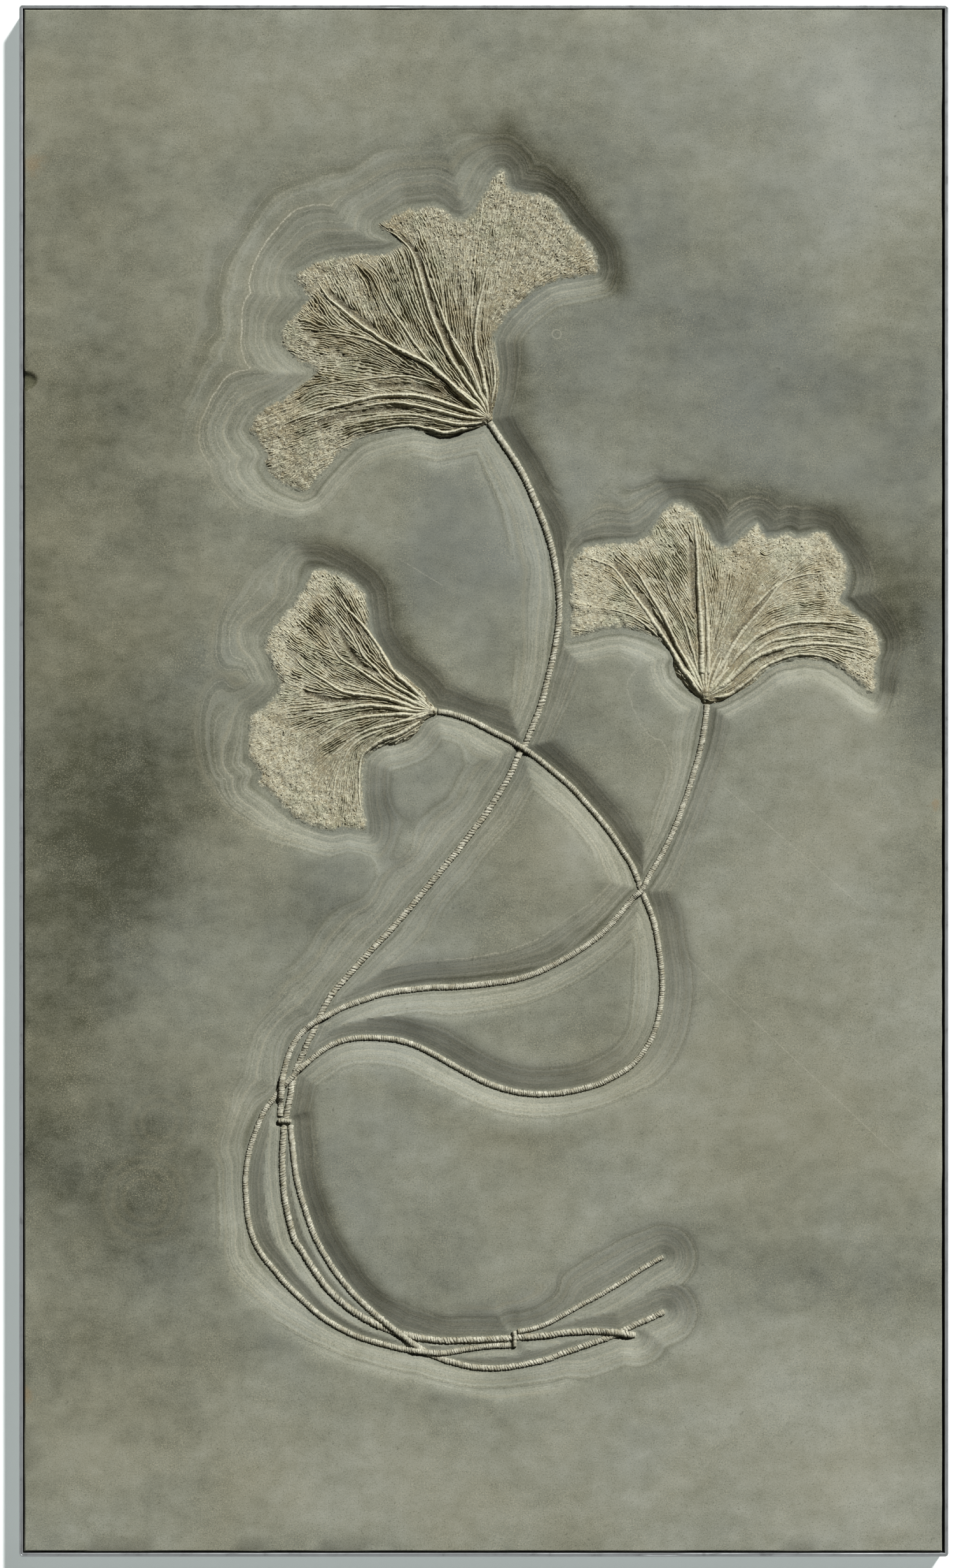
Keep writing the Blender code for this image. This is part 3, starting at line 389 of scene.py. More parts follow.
# bedding lines: where one pale bed comes to the surface, plan units
beds = {
    "paleLevel": 10.6,          # millimetres above the hollow's floor
    "spread": 0.034,            # how far each noted point bends the beds
    "lines": [
        [(760, 225), (728, 241), (699, 257), (646, 257), (601, 268), (560, 298), (520, 313),
         (462, 321), (440, 339), (411, 380), (389, 429), (371, 466), (377, 519), (378, 543),
         (348, 584), (330, 625), (312, 670), (322, 715), (352, 768), (409, 808), (468, 818),
         (517, 798), (536, 768), (573, 727), (621, 710), (699, 708), (748, 701), (758, 704),
         (786, 765), (808, 818), (817, 854), (822, 940), (827, 1040), (811, 1115), (779, 1120)],
        [(826, 704), (861, 772), (890, 797), (954, 794), (1000, 792), (1065, 760), (1180, 785),
         (1301, 800), (1376, 890), (1388, 955), (1421, 1006), (1378, 1134), (1265, 1070),
         (1189, 1103), (1145, 1160), (1120, 1236), (1077, 1348), (1051, 1425)],
        [(478, 843), (392, 874), (352, 914), (328, 1004), (301, 1075), (290, 1102),
         (299, 1173), (330, 1231), (379, 1285)],
        [(431, 1573), (378, 1634), (363, 1688), (338, 1779)],
        [(360, 1997), (440, 2067), (539, 2122), (641, 2149), (743, 2173), (860, 2163)],
        [(584, 2036), (704, 2085), (806, 2080), (860, 2064)],
        [(605, 1518), (700, 1506), (780, 1495), (820, 1465), (800, 1440), (840, 1437),
         (900, 1430), (950, 1400)],
        [(900, 1045), (970, 1025), (1000, 1060), (1046, 1149)],
    ],
}

# slow changes of tint over the face: x, y, half width, half height, lighter (+) or darker (-)
tints = [
    (60, 1150, 330, 900, -0.80), (165, 1340, 150, 190, -1.42), (330, 1150, 80, 160, -0.55),
    (500, 1390, 110, 100, -0.50), (120, 740, 110, 120, 0.45), (180, 130, 190, 130, 0.45),
    (1340, 190, 130, 150, 0.30), (120, 1020, 90, 90, 0.25), (750, 2340, 260, 90, 0.30),
    (1340, 1320, 130, 110, 0.25), (895, 1330, 50, 60, 0.30), (355, 770, 60, 60, 0.50),
    (1465, 1040, 30, 220, -0.55), (1450, 940, 50, 140, -0.45), (560, 2140, 120, 30, 0.40),
    (120, 1100, 120, 150, -0.45),
    (300, 1060, 100, 90, -0.3), (100, 720, 140, 200, -0.55), (90, 1720, 130, 170, -0.70),
    (720, 90, 260, 80, -0.30), (1430, 1050, 60, 420, -0.45), (1400, 450, 120, 110, -0.2),
    (1370, 190, 170, 230, 0.60), (1250, 60, 240, 70, 0.35), (1130, 540, 230, 210, -0.62),
    (1420, 700, 110, 260, -0.15), (900, 300, 90, 120, -0.5), (234, 1885, 105, 105, -0.45),
    (252, 1762, 70, 70, -0.45), (130, 2080, 150, 160, -0.25), (700, 2350, 700, 110, 0.30),
    (1360, 2250, 200, 200, 0.30), (1340, 1680, 220, 130, 0.20), (1355, 2015, 150, 45, -0.6),
    (1180, 1960, 130, 50, -0.3), (690, 860, 100, 120, -0.35), (900, 1600, 120, 60, -0.3),
    (1330, 1330, 200, 200, 0.22), (760, 200, 120, 60, -0.35), (120, 200, 130, 170, -0.25),
    (450, 90, 340, 80, -0.12), (1050, 1850, 160, 120, 0.25), (1100, 1760, 190, 40, 0.2),
    (300, 2330, 160, 70, -0.2), (640, 1950, 110, 130, -0.15), (230, 1620, 60, 50, 0.2),
    (850, 2330, 120, 40, -0.35), (560, 2400, 130, 30, 0.25), (1230, 1500, 120, 40, -0.2),
    (620, 1400, 90, 60, 0.25), (860, 1480, 90, 30, 0.2), (700, 1330, 70, 90, 0.15),
    (880, 1330, 60, 90, 0.35), (1000, 2040, 90, 40, 0.15), (1180, 2230, 160, 60, 0.1),
    (1375, 490, 90, 90, 0.30), (1340, 200, 120, 120, 0.15), (110, 1720, 70, 90, 0.22),
    (895, 1330, 40, 50, 0.40), (690, 1415, 90, 45, -0.50), (505, 1420, 60, 60, -0.35),
    (650, 930, 50, 60, -0.40), (880, 560, 55, 75, -0.45), (1085, 1560, 40, 130, 0.30),
    (560, 280, 200, 60, -0.15), (700, 250, 60, 40, -0.3), (1040, 1600, 40, 110, 0.20),
]
# and of warmth: browner (+) or cooler (-)
warmths = [
    (1120, 560, 330, 300, -0.9), (700, 870, 150, 160, -0.7), (1350, 120, 220, 180, -0.6),
    (60, 1000, 260, 900, 0.75), (120, 300, 130, 330, 0.35), (140, 2150, 160, 220, 0.7),
    (1390, 480, 90, 110, 0.6), (1300, 1700, 260, 200, 0.45), (1150, 1800, 200, 120, 0.5),
    (700, 2330, 500, 100, 0.45), (400, 120, 300, 90, 0.2), (560, 1880, 140, 200, -0.2),
    (860, 1380, 120, 120, 0.35), (110, 1020, 120, 120, 0.7), (100, 1720, 120, 160, 0.8),
    (1340, 1340, 160, 160, 0.3), (1380, 2250, 120, 200, 0.2),
]

# painted shade on the banks that face away from the light: the points it follows, half width, how
# much darker
shadedBanks = [
    ([(800, 215), (840, 258), (885, 295), (922, 347), (958, 400), (965, 440)], 27, -1.05),
    ([(500, 862), (545, 872), (590, 905), (617, 960), (647, 1025), (690, 1078)], 22, -0.85),
    ([(815, 540), (820, 620), (838, 700), (862, 775), (884, 850), (896, 930)], 19, -0.65),
    ([(1110, 800), (1170, 785), (1240, 800), (1330, 822), (1392, 900), (1405, 985)], 36, -0.80),
    ([(855, 1190), (905, 1225), (955, 1285), (1000, 1345)], 12, -0.25),
    ([(560, 1700), (620, 1715), (700, 1760), (790, 1790), (900, 1790)], 16, -0.35),
    ([(480, 1730), (500, 1860), (540, 1960), (600, 2040)], 16, -0.45),
    ([(640, 1560), (760, 1540), (860, 1510), (940, 1460)], 18, -0.30),
]

# where the pale bed shows clearly: x, y, half width, half height, how much
seams = [
    (440, 350, 150, 110, 0.9), (360, 560, 70, 200, 0.9), (1180, 770, 260, 60, 0.6),
    (1410, 930, 50, 140, 0.7), (960, 1200, 150, 220, 0.55), (680, 1420, 220, 140, 0.5),
    (720, 1520, 150, 60, 0.4),
]


def blobs(q, table):
    # the sum of soft patches
    total = np.zeros(len(q))
    for x, y, wide, tall, much in table:
        cx, cy = place((x, y))
        total += much * np.exp(-((q[:, 0] - cx) / (wide * plan["unit"])) ** 2
                               - ((q[:, 1] - cy) / (tall * plan["unit"])) ** 2)
    return total


# distance to the nearest animal, from points strewn along the outlines and the stem lines
def animalDistance(q):
    rims, halves, tracks = [], [], []
    for crown in crowns.values():
        rims.append(evenly(placeAll(crown["outline"] + crown["outline"][:1]), 0.0012))
    for stem in stems.values():
        line = smoothLine(placeAll(stem["line"]), 0.0012)
        tracks.append(line)
        halves += [stem["width"] / 2] * len(line)
    rimTree, trackTree = nearestTree(np.vstack(rims)), nearestTree(np.vstack(tracks))
    out = np.empty(len(q))
    for k, p in enumerate(q):
        spotAt = (p[0], p[1], 0.0)
        a = rimTree.find(spotAt)[2]
        _, index, b = trackTree.find(spotAt)
        out[k] = min(a, b - halves[index])
    for crown in crowns.values():
        out[insideLoop(q, placeAll(crown["outline"]))] = 0.0
    return np.maximum(out, 0.0)


def groundShare(q, near):
    # 0 on the floor of the hollow, 1 on the slab's face
    weights, total = np.zeros(len(q)), np.zeros(len(q))
    for x, y, far in reaches:
        cx, cy = place((x, y))
        w = 1.0 / ((q[:, 0] - cx) ** 2 + (q[:, 1] - cy) ** 2 + 0.016 ** 2) ** 2
        weights += w
        total += w * far * plan["unit"]
    reach = total / weights - slab["ledge"]
    t = np.clip(np.maximum(near - slab["ledge"], 0.0) / (reach * slab["softTop"]), 0.0, 1.0)
    broad = 1.0 - (1.0 - t) ** 3 * (1.0 + t)
    knee, steep = slab["knee"], slab["steep"]
    rest = 1.0 - knee * steep
    fade = np.clip((t - knee) / (1 - knee), 0.0, 1.0)
    narrow = np.minimum(t, knee) * steep + rest * (
        1.0 - (1.0 - fade) ** (steep * (1 - knee) / rest))
    mix = steps(reach, 0.055, 0.105)
    return narrow * (1 - mix) + broad * mix


def bedHeight(q, share):
    # which bed lies at the surface, in millimetres above the floor
    bend, weights = np.zeros(len(q)), np.full(len(q), 0.12)
    for line in beds["lines"]:
        marks = evenly(placeAll(line), 0.012)
        here = groundShare(marks, animalDistance(marks)) * slab["hollowDepth"] * 1000
        for p, h in zip(marks, here):
            w = np.exp(-((q[:, 0] - p[0]) ** 2 + (q[:, 1] - p[1]) ** 2) / beds["spread"] ** 2 * 2)
            bend += w * (beds["paleLevel"] - h)
            weights += w
    slow = 0.9 * waves(q, 0.21, 5) + 0.35 * waves(q, 0.07, 6)
    return share * slab["hollowDepth"] * 1000 + bend / weights + slow


def chipDrop(q):
    # the flake broken from the left edge
    rim = placeAll(slab["chip"])
    drop = distanceToLine(q, rim, False) * (1.0 + 0.25 * waves(q, 0.004, 23))
    drop[~insideLoop(q, rim)] = 0.0
    return np.minimum(drop, slab["chipDeep"]) * (0.55 + 0.45 * steps(q[:, 1], *sorted(
        (rim[-1][1], rim[2][1]))))


def measureFace():
    # the face on an even grid: its height and, for the material, where its beds lie
    left, top = place(slab["corners"][0])
    right, bottom = place(slab["corners"][1])
    cell, inset, block = slab["cell"], slab["chamfer"], slab["block"]
    nx, ny = (int((high - low - 2 * inset) / cell / block) * block
              for low, high in ((left, right), (bottom, top)))
    gx, gy = np.meshgrid(np.linspace(left + inset, right - inset, nx + 1),
                         np.linspace(bottom + inset, top - inset, ny + 1), indexing="ij")
    q = np.stack([gx.ravel(), gy.ravel()], 1)
    near = animalDistance(q)
    share = groundShare(q, near)
    bed = bedHeight(q, share)
    print("  ground measured at", len(q), "points")
    slope = steps(share, 0.0, 0.12) * (1 - steps(share, 0.90, 1.0))
    z = floorZ + slab["hollowDepth"] * share
    z += slope * slab["terrace"] * np.sin(bed * 2 * np.pi / (slab["terracePitch"] * 1000)
                                          + 1.7 * waves(q, 0.05, 8))
    z += steps(near, 0.02, 0.06) * slab["swell"] * (waves(q, 0.16, 9) - 1.0) * 0.5
    z -= chipDrop(q)
    z, bed, share = (values.reshape(gx.shape) for values in (z, bed, share))
    # how fast the beds rise to the surface, millimetres per millimetre
    rise = np.maximum(np.hypot(*np.gradient(bed, cell * 1000, cell * 1000)), 0.02)
    return gx, gy, z, {"bed": bed, "share": share, "rise": rise}


def splitCells(z, paleLine):
    # coarse blocks where the ground is even, fine cells where it isn't and on the pale line
    nx, ny = z.shape[0] - 1, z.shape[1] - 1
    block, fence, miss = slab["block"], slab["even"], {}
    for s in (block, block // 2, block // 4):
        a, b = z[:-s:s, :-s:s], z[s::s, :-s:s]
        d, e = z[:-s:s, s::s], z[s::s, s::s]
        worst = np.zeros(a.shape)
        for i, j in product(range(s + 1), repeat=2):
            u, v = i / s, j / s
            flat = (a * (1 - u) + b * u) * (1 - v) + (d * (1 - u) + e * u) * v
            cells = np.s_[i:nx + 1 - s + i:s, j:ny + 1 - s + j:s]
            worst = np.maximum(worst, np.abs(z[cells] - flat))
            if s > 2:
                worst[paleLine[cells]] = 1.0
        miss[s] = worst
    while True:
        leaves = []
        stack = [(i, j, block) for i in range(0, nx, block) for j in range(0, ny, block)]
        while stack:
            i, j, s = stack.pop()
            if s == 1 or miss[s][i // s, j // s] < fence:
                leaves.append((i, j, s))
            else:
                h = s // 2
                stack += [(i, j, h), (i + h, j, h), (i, j + h, h), (i + h, j + h, h)]
        if len(leaves) * slab["perBlock"] < slab["mostTriangles"]:
            return sorted(leaves)
        fence *= 1.15


def joinCells(leaves):
    # the grid points that the blocks use, and faces that meet their finer neighbours
    corners = {(i + a, j + b) for i, j, s in leaves for a in (0, s) for b in (0, s)}
    points, faces = sorted(corners), []
    number = {p: k for k, p in enumerate(points)}
    for i, j, s in leaves:
        ring = [(i + k, j) for k in range(s)] + [(i + s, j + k) for k in range(s)]
        ring += [(i + s - k, j + s) for k in range(s)] + [(i, j + s - k) for k in range(s)]
        ring = [number[p] for p in ring if p in number]
        if len(ring) == 4:
            faces.append(ring)
        else:
            faces += [(a, b, len(points)) for a, b in zip(ring, ring[1:] + ring[:1])]
            points.append((i + s // 2, j + s // 2))
    return points, number, faces


def buildSlab(stone):
    gx, gy, z, marks = measureFace()
    paleLine = np.abs(marks["bed"] - beds["paleLevel"]) / marks["rise"] < slab["fineNear"]
    points, number, faces = joinCells(splitCells(z, paleLine))
    at = tuple(np.array(points).T)
    verts = np.stack([gx[at], gy[at], z[at]], 1)

    # worn edge, sides and back
    nx, ny = z.shape[0] - 1, z.shape[1] - 1
    border = [(i, 0) for i in range(nx)] + [(nx, j) for j in range(ny)]
    border += [(i, ny) for i in range(nx, 0, -1)] + [(0, j) for j in range(ny, 0, -1)]
    border = [p for p in border if p in number]
    i, j = np.array(border).T
    flat = np.stack([gx[i, j], gy[i, j]], 1)
    outward = np.stack([(i == nx) * 1.0 - (i == 0), (j == ny) * 1.0 - (j == 0)], 1)
    inset, up = slab["chamfer"], np.minimum(z[i, j], slab["faceZ"])
    wear = 0.00025 * (1 + waves(flat, 0.011, 21)) + 0.0002 * (1 + waves(flat, 0.0034, 22))
    rough = 0.0002 * (1 + np.sin(211 * flat[:, 0] + 173 * flat[:, 1]))
    side = up - inset * 1.3
    rows = [(inset * away - wear * away, up - inset * drop - wear)
            for away, drop in slab["wornEdge"]]
    rows += [(inset - rough, side - (side - slab["backZ"]) * drop) for drop in (0.35, 1.0)]
    rings = [[number[p] for p in border]]
    for away, level in rows:
        rings.append(range(len(verts), len(verts) + len(border)))
        verts = np.vstack([verts, np.column_stack([flat + outward * away[:, None], level])])
    n = len(border)
    for a, b in zip(rings[:-1], rings[1:]):
        faces += [(a[(k + 1) % n], a[k], b[k], b[(k + 1) % n]) for k in range(n)]
    faces.append(rings[-1])
    marks = {key: np.append(grid[at], np.full(len(verts) - len(points), slab["sideMarks"][key]))
             for key, grid in marks.items()}

    q = verts[:, :2]
    tone = blobs(q, tints) + 0.25 * waves(q, 0.09, 31) + 0.25 * waves(q, 0.25, 32)
    warm = blobs(q, warmths) + 0.25 * waves(q, 0.19, 33)
    # painted shade on the banks that face away from the light, with a browner tint
    for line, wide, much in shadedBanks:
        away = distanceToLine(q, smoothLine(placeAll(line), 0.006), False)
        dark = much * np.exp(-(away / (wide * plan["unit"])) ** 2)
        tone += dark
        warm -= slab["bankShadeWarm"] * dark
    # painted shade in the hollow of the chip; the browner tint is the broken stone's own colour
    broken = insideLoop(q, placeAll(slab["chip"]))
    tone[broken] -= slab["chipShade"]
    warm[broken] += slab["chipWarm"]
    marks.update(tone=tone, warm=warm, seam=np.clip(blobs(q, seams), 0.10, 1.0))
    piece = addPiece("shaleSlab", verts, faces, stone, 0.62, marks)
    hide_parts("slab")
    return piece


shale = {
    "mid": (0.243, 0.249, 0.188),
    "dark": (0.045, 0.048, 0.027),
    "pale": (0.410, 0.420, 0.352),
    "tan": (0.288, 0.260, 0.160),
    "olive": (0.110, 0.107, 0.050),
    "cool": (0.198, 0.222, 0.214),
    "line": (0.580, 0.560, 0.440),
    "speck": (0.480, 0.440, 0.285),
    "rust": (0.300, 0.190, 0.080),
    "footShade": 0.14,           # how much painted shade darkens the foot of the slopes
    "fresh": 0.22,              # how much paler the ground slopes are than the face
    "drift": 32.0,              # the mottling runs this many degrees off the X axis
    "grain": 0.00010,           # depth of the sanded grain
    "bedding": 0.00008,         # depth of the fine bedding steps
    # beds on the slopes: noise start, pitch and detail, then from, to, how much and the colour
    "bands": ((0.0, 0.24, 1.0, ((0.54, 0.32, 0.34, "dark"), (0.52, 0.70, 0.16, "pale"))),
              (40.0, 0.42, 1.5, ((0.50, 0.68, 0.24, "tan"), (0.48, 0.32, 0.20, "olive"))),
              (70.0, 1.25, 1.0, ((0.52, 0.66, 0.16, "pale"),))),
    "hairs": ((90.0, 0.26), (170.0, 0.20)),     # thin pale lines: noise start, how much
    "veins": [((1133, 1232), (1367, 1435)), ((1072, 1497), (1417, 1823)), ((622, 875), (702, 924))],
    "rings": [((227, 1884), 65), ((227, 1884), 50), ((227, 1884), 33), ((250, 1764), 42),
              ((250, 1764), 27), ((875, 525), 7)],
    "rusts": [((50, 260), 24), ((40, 2190), 18), ((1468, 1261), 9)],
}


def shaleStone():
    stone, tree, shader = newStone("sandedShale", 0.86, shale["mid"])
    lay = coatOf(tree, shader, shale, "mid")
    at = spot(tree)
    tone, warm, bed, share, rise = (mark(tree, t) for t in ("tone", "warm", "bed", "share", "rise"))
    # slow mottling
    mottle = cloud(tree, at, 11.0, 6.0, 0.66, (0.55, 1.45, 1.0), shale["drift"])
    veil = cloud(tree, at, 40.0, 5.0, 0.66)
    grit = cloud(tree, at, 560.0, 3.0, 0.75)
    lift = sway(tree, mottle, 1.9, tone)
    lift = sway(tree, veil, 1.6, lift)
    lift = sway(tree, grit, 1.9, lift)
    onSlope = times(tree, band(tree, share, 0.02, 0.12), band(tree, share, 0.985, 0.82))
    lift = sums(tree, "MULTIPLY_ADD", onSlope, shale["fresh"], lift)
    # the face's own tones: darker, paler, browner and cooler
    lay(evenBand(tree, lift, 0.0, -1.8), "dark")
    lay(evenBand(tree, lift, 0.0, 1.5), "pale")
    tint = sway(tree, cloud(tree, at, 7.0, 5.0, 0.6), 3.0, warm)
    tanHere = blendColour(tree, evenBand(tree, lift, 0.0, -1.6), shale["tan"], shale["olive"])
    lay(evenBand(tree, tint, 0.0, 1.7, 0.0, 0.50), tanHere)
    lay(evenBand(tree, tint, 0.0, -1.6, 0.0, 0.60), "cool")
    # beds cut by the hollow, their edges wavering by about a millimetre
    waver = times(tree, sums(tree, "SUBTRACT", cloud(tree, at, 150.0, 4.0, 0.6), 0.5), 4.0)
    jag = sums(tree, "MULTIPLY_ADD", waver, rise, bed)
    for start, pitch, detail, bands in shale["bands"]:
        value = lineNoise(tree, sums(tree, "ADD", jag, start) if start else jag, pitch, detail)
        for low, high, much, name in bands:
            lay(times(tree, band(tree, value, low, high, 0.0, much), onSlope), name)
    broken = band(tree, cloud(tree, at, 380.0, 2.0, 0.7), 0.42, 0.56, 0.15, 1.0)
    faint = band(tree, cloud(tree, at, 9.0, 2.0), 0.36, 0.56, 0.25, 1.0)
    for start, much in shale["hairs"]:
        thin = lineNoise(tree, sums(tree, "ADD", jag, start), 0.24, 0.0)
        off = sums(tree, "ABSOLUTE", sums(tree, "SUBTRACT", thin, 0.5))
        fine = times(tree, band(tree, sums(tree, "DIVIDE", off, rise), 0.16, 0.04, 0.0, much),
                     onSlope)
        lay(times(tree, times(tree, fine, faint), broken), "line")
    off = sums(tree, "ABSOLUTE", sums(tree, "SUBTRACT", jag, beds["paleLevel"]))
    main = times(tree, band(tree, sums(tree, "DIVIDE", off, rise), 1.6, 0.25, 0.0, 0.80), broken)
    lay(times(tree, times(tree, main, mark(tree, "seam")), faint), "line")
    # painted shade in the crease at the foot of the slopes
    lay(times(tree, band(tree, share, 0.60, 0.05, 0.0, shale["footShade"]),
              band(tree, share, 0.0, 0.02)), "dark")
    # veins, old rings and rust on the face
    for start, end in shale["veins"]:
        vein = times(tree, lineMark(tree, at, place(start), place(end), 0.0012), broken)
        lay(times(tree, vein, 0.30), "line")
    for middle, radius in shale["rings"]:
        half, much, name = (0.0012, 0.30, "line") if radius < 10 else (0.006, 0.12, "tan")
        ring = ringMark(tree, at, place(middle), radius * plan["unit"], half)
        lay(times(tree, ring, much), name)
    for middle, radius in shale["rusts"]:
        away = vectorSum(tree, "DISTANCE", at, (*place(middle), slab["faceZ"]), "Value")
        stain = band(tree, sway(tree, veil, 0.05, away), radius * plan["unit"], 0.0, 0.0, 0.35)
        lay(stain, "rust")
    # fine pale and dark specks
    patch = band(tree, cloud(tree, at, 16.0, 4.0), 0.48, 0.64, 0.30, 1.0)
    lay(times(tree, band(tree, grit, 0.52, 0.70, 0.0, 0.45), patch), "speck")
    lay(band(tree, grit, 0.44, 0.28, 0.0, 0.50), "dark")
    lay(band(tree, cloud(tree, at, 170.0, 1.0), 0.735, 0.80, 0.0, 0.32), "dark")
    bedding = times(tree, lineNoise(tree, jag, 0.6, 1.0), onSlope)
    relief(tree, shader, [(bedding, shale["bedding"]),
                          (cloud(tree, at, 420.0, 4.0, 0.7), shale["grain"])])
    return stone


# the animals' crowns, each drawn from its cup outwards
crownUpper = {
    "ropeHigh": 0.0053,
    "spacing": 0.0030,      # between the fine branches
    "swell": 0.0043,        # how much the mat rises round the cup
    "stain": 0.26,
    "bold": 1.0,
    "loose": (0.014, 0.85),     # no branches can be told apart this far from an arm
    "folds": (6, 0.044),
    # how stout each arm is
    "stout": (1.25, 0.8, 1.0, 0.9, 0.8, 1.0, 0.8, 1.2, 0.9, 0.8, 0.8, 0.6, 0.6, 0.55),
    "outline": [
        (773, 659), (778, 633), (784, 609), (786, 580), (782, 555), (779, 532), (788, 513),
        (802, 494), (822, 474), (841, 460), (860, 447), (880, 441), (920, 435), (941, 431),
        (945, 420), (943, 402), (936, 388), (926, 374), (908, 356), (892, 336), (880, 320),
        (867, 306), (851, 299), (830, 298), (812, 295), (804, 286), (801, 268), (793, 260),
        (781, 262), (770, 274), (762, 291), (753, 307), (742, 326), (728, 336), (711, 333),
        (698, 322), (682, 315), (662, 318), (638, 320), (622, 329), (609, 337), (590, 348),
        (590, 358), (606, 366), (620, 374), (627, 381), (604, 390), (578, 392), (548, 394),
        (520, 398), (496, 405), (475, 417), (460, 425), (459, 439), (471, 453), (479, 466),
        (467, 482), (447, 502), (436, 514), (434, 527), (441, 544), (453, 558), (471, 572),
        (488, 582), (483, 592), (462, 607), (442, 621), (422, 631), (405, 643), (393, 658),
        (387, 674), (394, 687), (406, 699), (413, 715), (409, 731), (421, 747), (438, 760),
        (458, 770), (475, 776), (487, 771), (495, 760), (508, 745), (524, 731), (540, 715),
        (556, 700), (572, 690), (589, 684), (609, 679), (630, 676), (650, 674), (671, 680),
        (691, 687), (711, 684), (732, 676), (752, 671), (765, 665)],
    "cup": (768, 656),
    "arms": [
        [(762, 645), (744, 633), (720, 613), (699, 592), (671, 570), (642, 555), (618, 543),
         (593, 527), (569, 511), (548, 494), (532, 480), (515, 466), (503, 449), (495, 437)],
        [(758, 640), (740, 625), (711, 604), (687, 580), (666, 556), (646, 531), (630, 506),
         (613, 482), (601, 458), (595, 437), (585, 425), (568, 413)],
        [(757, 632), (742, 612), (722, 583), (703, 553), (691, 527), (679, 498), (669, 466),
         (660, 433), (650, 402), (638, 382), (622, 368), (604, 358)],
        [(760, 630), (744, 588), (724, 551), (707, 523), (695, 494), (685, 466), (675, 441),
         (666, 413), (658, 396)],
        [(764, 635), (752, 612), (733, 572), (716, 545), (706, 519), (700, 489), (697, 455)],
        [(767, 630), (757, 576), (749, 551), (747, 527), (749, 498), (755, 466), (761, 445),
         (767, 421), (781, 400), (792, 380), (798, 364)],
        [(773, 632), (778, 600), (776, 572), (771, 545)],
        [(760, 651), (728, 643), (703, 634), (675, 625), (646, 620), (618, 620), (589, 622),
         (564, 628), (540, 634), (515, 640), (494, 648), (466, 657), (440, 668)],
        [(756, 657), (728, 655), (700, 647), (671, 640), (630, 632), (600, 633), (560, 640)],
        [(758, 662), (744, 665), (720, 666), (699, 662), (675, 655), (650, 651), (600, 652),
         (560, 660)],
        [(755, 667), (728, 673), (700, 679), (672, 672), (640, 667), (600, 673), (566, 684)],
        [(690, 602), (640, 590), (600, 592), (560, 596), (520, 602), (488, 612)],
        [(612, 545), (570, 530), (530, 524), (490, 520)],
        [(700, 560), (670, 520), (650, 485), (636, 450), (620, 418)],
    ],
    "furrows": [
        [(722, 570), (699, 527), (687, 498), (675, 462), (666, 425), (650, 391), (632, 372)],
        [(690, 617), (640, 604), (590, 606)],
        [(640, 640), (600, 642), (548, 650), (500, 662)],
        [(585, 512), (545, 482), (515, 456)],
    ],
    # which way the fine side branches run
    "strokes": [
        [(712, 545), (704, 470)], [(722, 520), (720, 430), (716, 360)],
        [(738, 500), (742, 410), (752, 350)], [(690, 420), (676, 370), (660, 335)],
        [(668, 545), (640, 470), (622, 420)], [(650, 510), (622, 440)],
        [(690, 540), (664, 470), (648, 410)], [(600, 515), (578, 455)],
        [(570, 492), (548, 432)], [(540, 470), (512, 415)], [(640, 545), (610, 490)],
        [(640, 608), (560, 600), (500, 606)], [(600, 618), (520, 620), (450, 640)],
        [(700, 670), (640, 664), (570, 674)], [(560, 682), (500, 710), (450, 745)],
        [(520, 665), (450, 690), (410, 700)], [(780, 480), (815, 420), (850, 350)],
        [(790, 500), (850, 450), (925, 415)], [(785, 440), (800, 360), (815, 310)],
        [(762, 420), (772, 340), (785, 280)], [(600, 560), (540, 535), (465, 525)],
        [(560, 560), (510, 562), (450, 545)], [(520, 500), (490, 460), (470, 440)],
        [(640, 640), (590, 612), (530, 605)], [(590, 618), (545, 598), (512, 590)],
        [(540, 622), (500, 612), (465, 640)], [(505, 630), (470, 640), (430, 662)],
        [(725, 610), (690, 565), (660, 500), (640, 450)], [(745, 600), (728, 530), (712, 470)],
    ],
    # dips between the bundles: the points, half width, how deep, which also sets their painted shade
    "valleys": [
        ([(735, 640), (700, 615), (660, 590), (620, 568), (585, 560)], 15, 1.0),
        ([(745, 615), (716, 575), (690, 540), (668, 510)], 9, 0.8),
        ([(760, 600), (742, 560), (730, 510), (722, 450)], 8, 0.8),
        ([(764, 600), (760, 560), (766, 510), (768, 470)], 6, 0.5),
        ([(640, 560), (600, 532), (560, 505), (525, 478)], 7, 0.5),
        ([(665, 540), (640, 500), (620, 460), (600, 425)], 8, 0.6),
        ([(560, 545), (520, 530), (480, 522)], 8, 0.5),
        ([(700, 655), (640, 645), (590, 648), (520, 662), (460, 690)], 6, 0.7),
        ([(700, 672), (650, 664), (600, 672), (560, 690)], 6, 0.6),
        ([(782, 560), (776, 520), (782, 470), (800, 420)], 7, 0.5),
    ],
    # where the surface is only granular: x, y, radius
    "grains": [
        (860, 375, 62), (790, 330, 48), (480, 440, 42), (640, 345, 34), (425, 690, 60),
        (465, 750, 46), (455, 530, 38), (915, 410, 38), (700, 345, 26), (535, 412, 34),
        (825, 465, 44), (500, 700, 44), (780, 400, 34), (440, 640, 34), (570, 400, 22),
        (740, 355, 26),
    ],
}

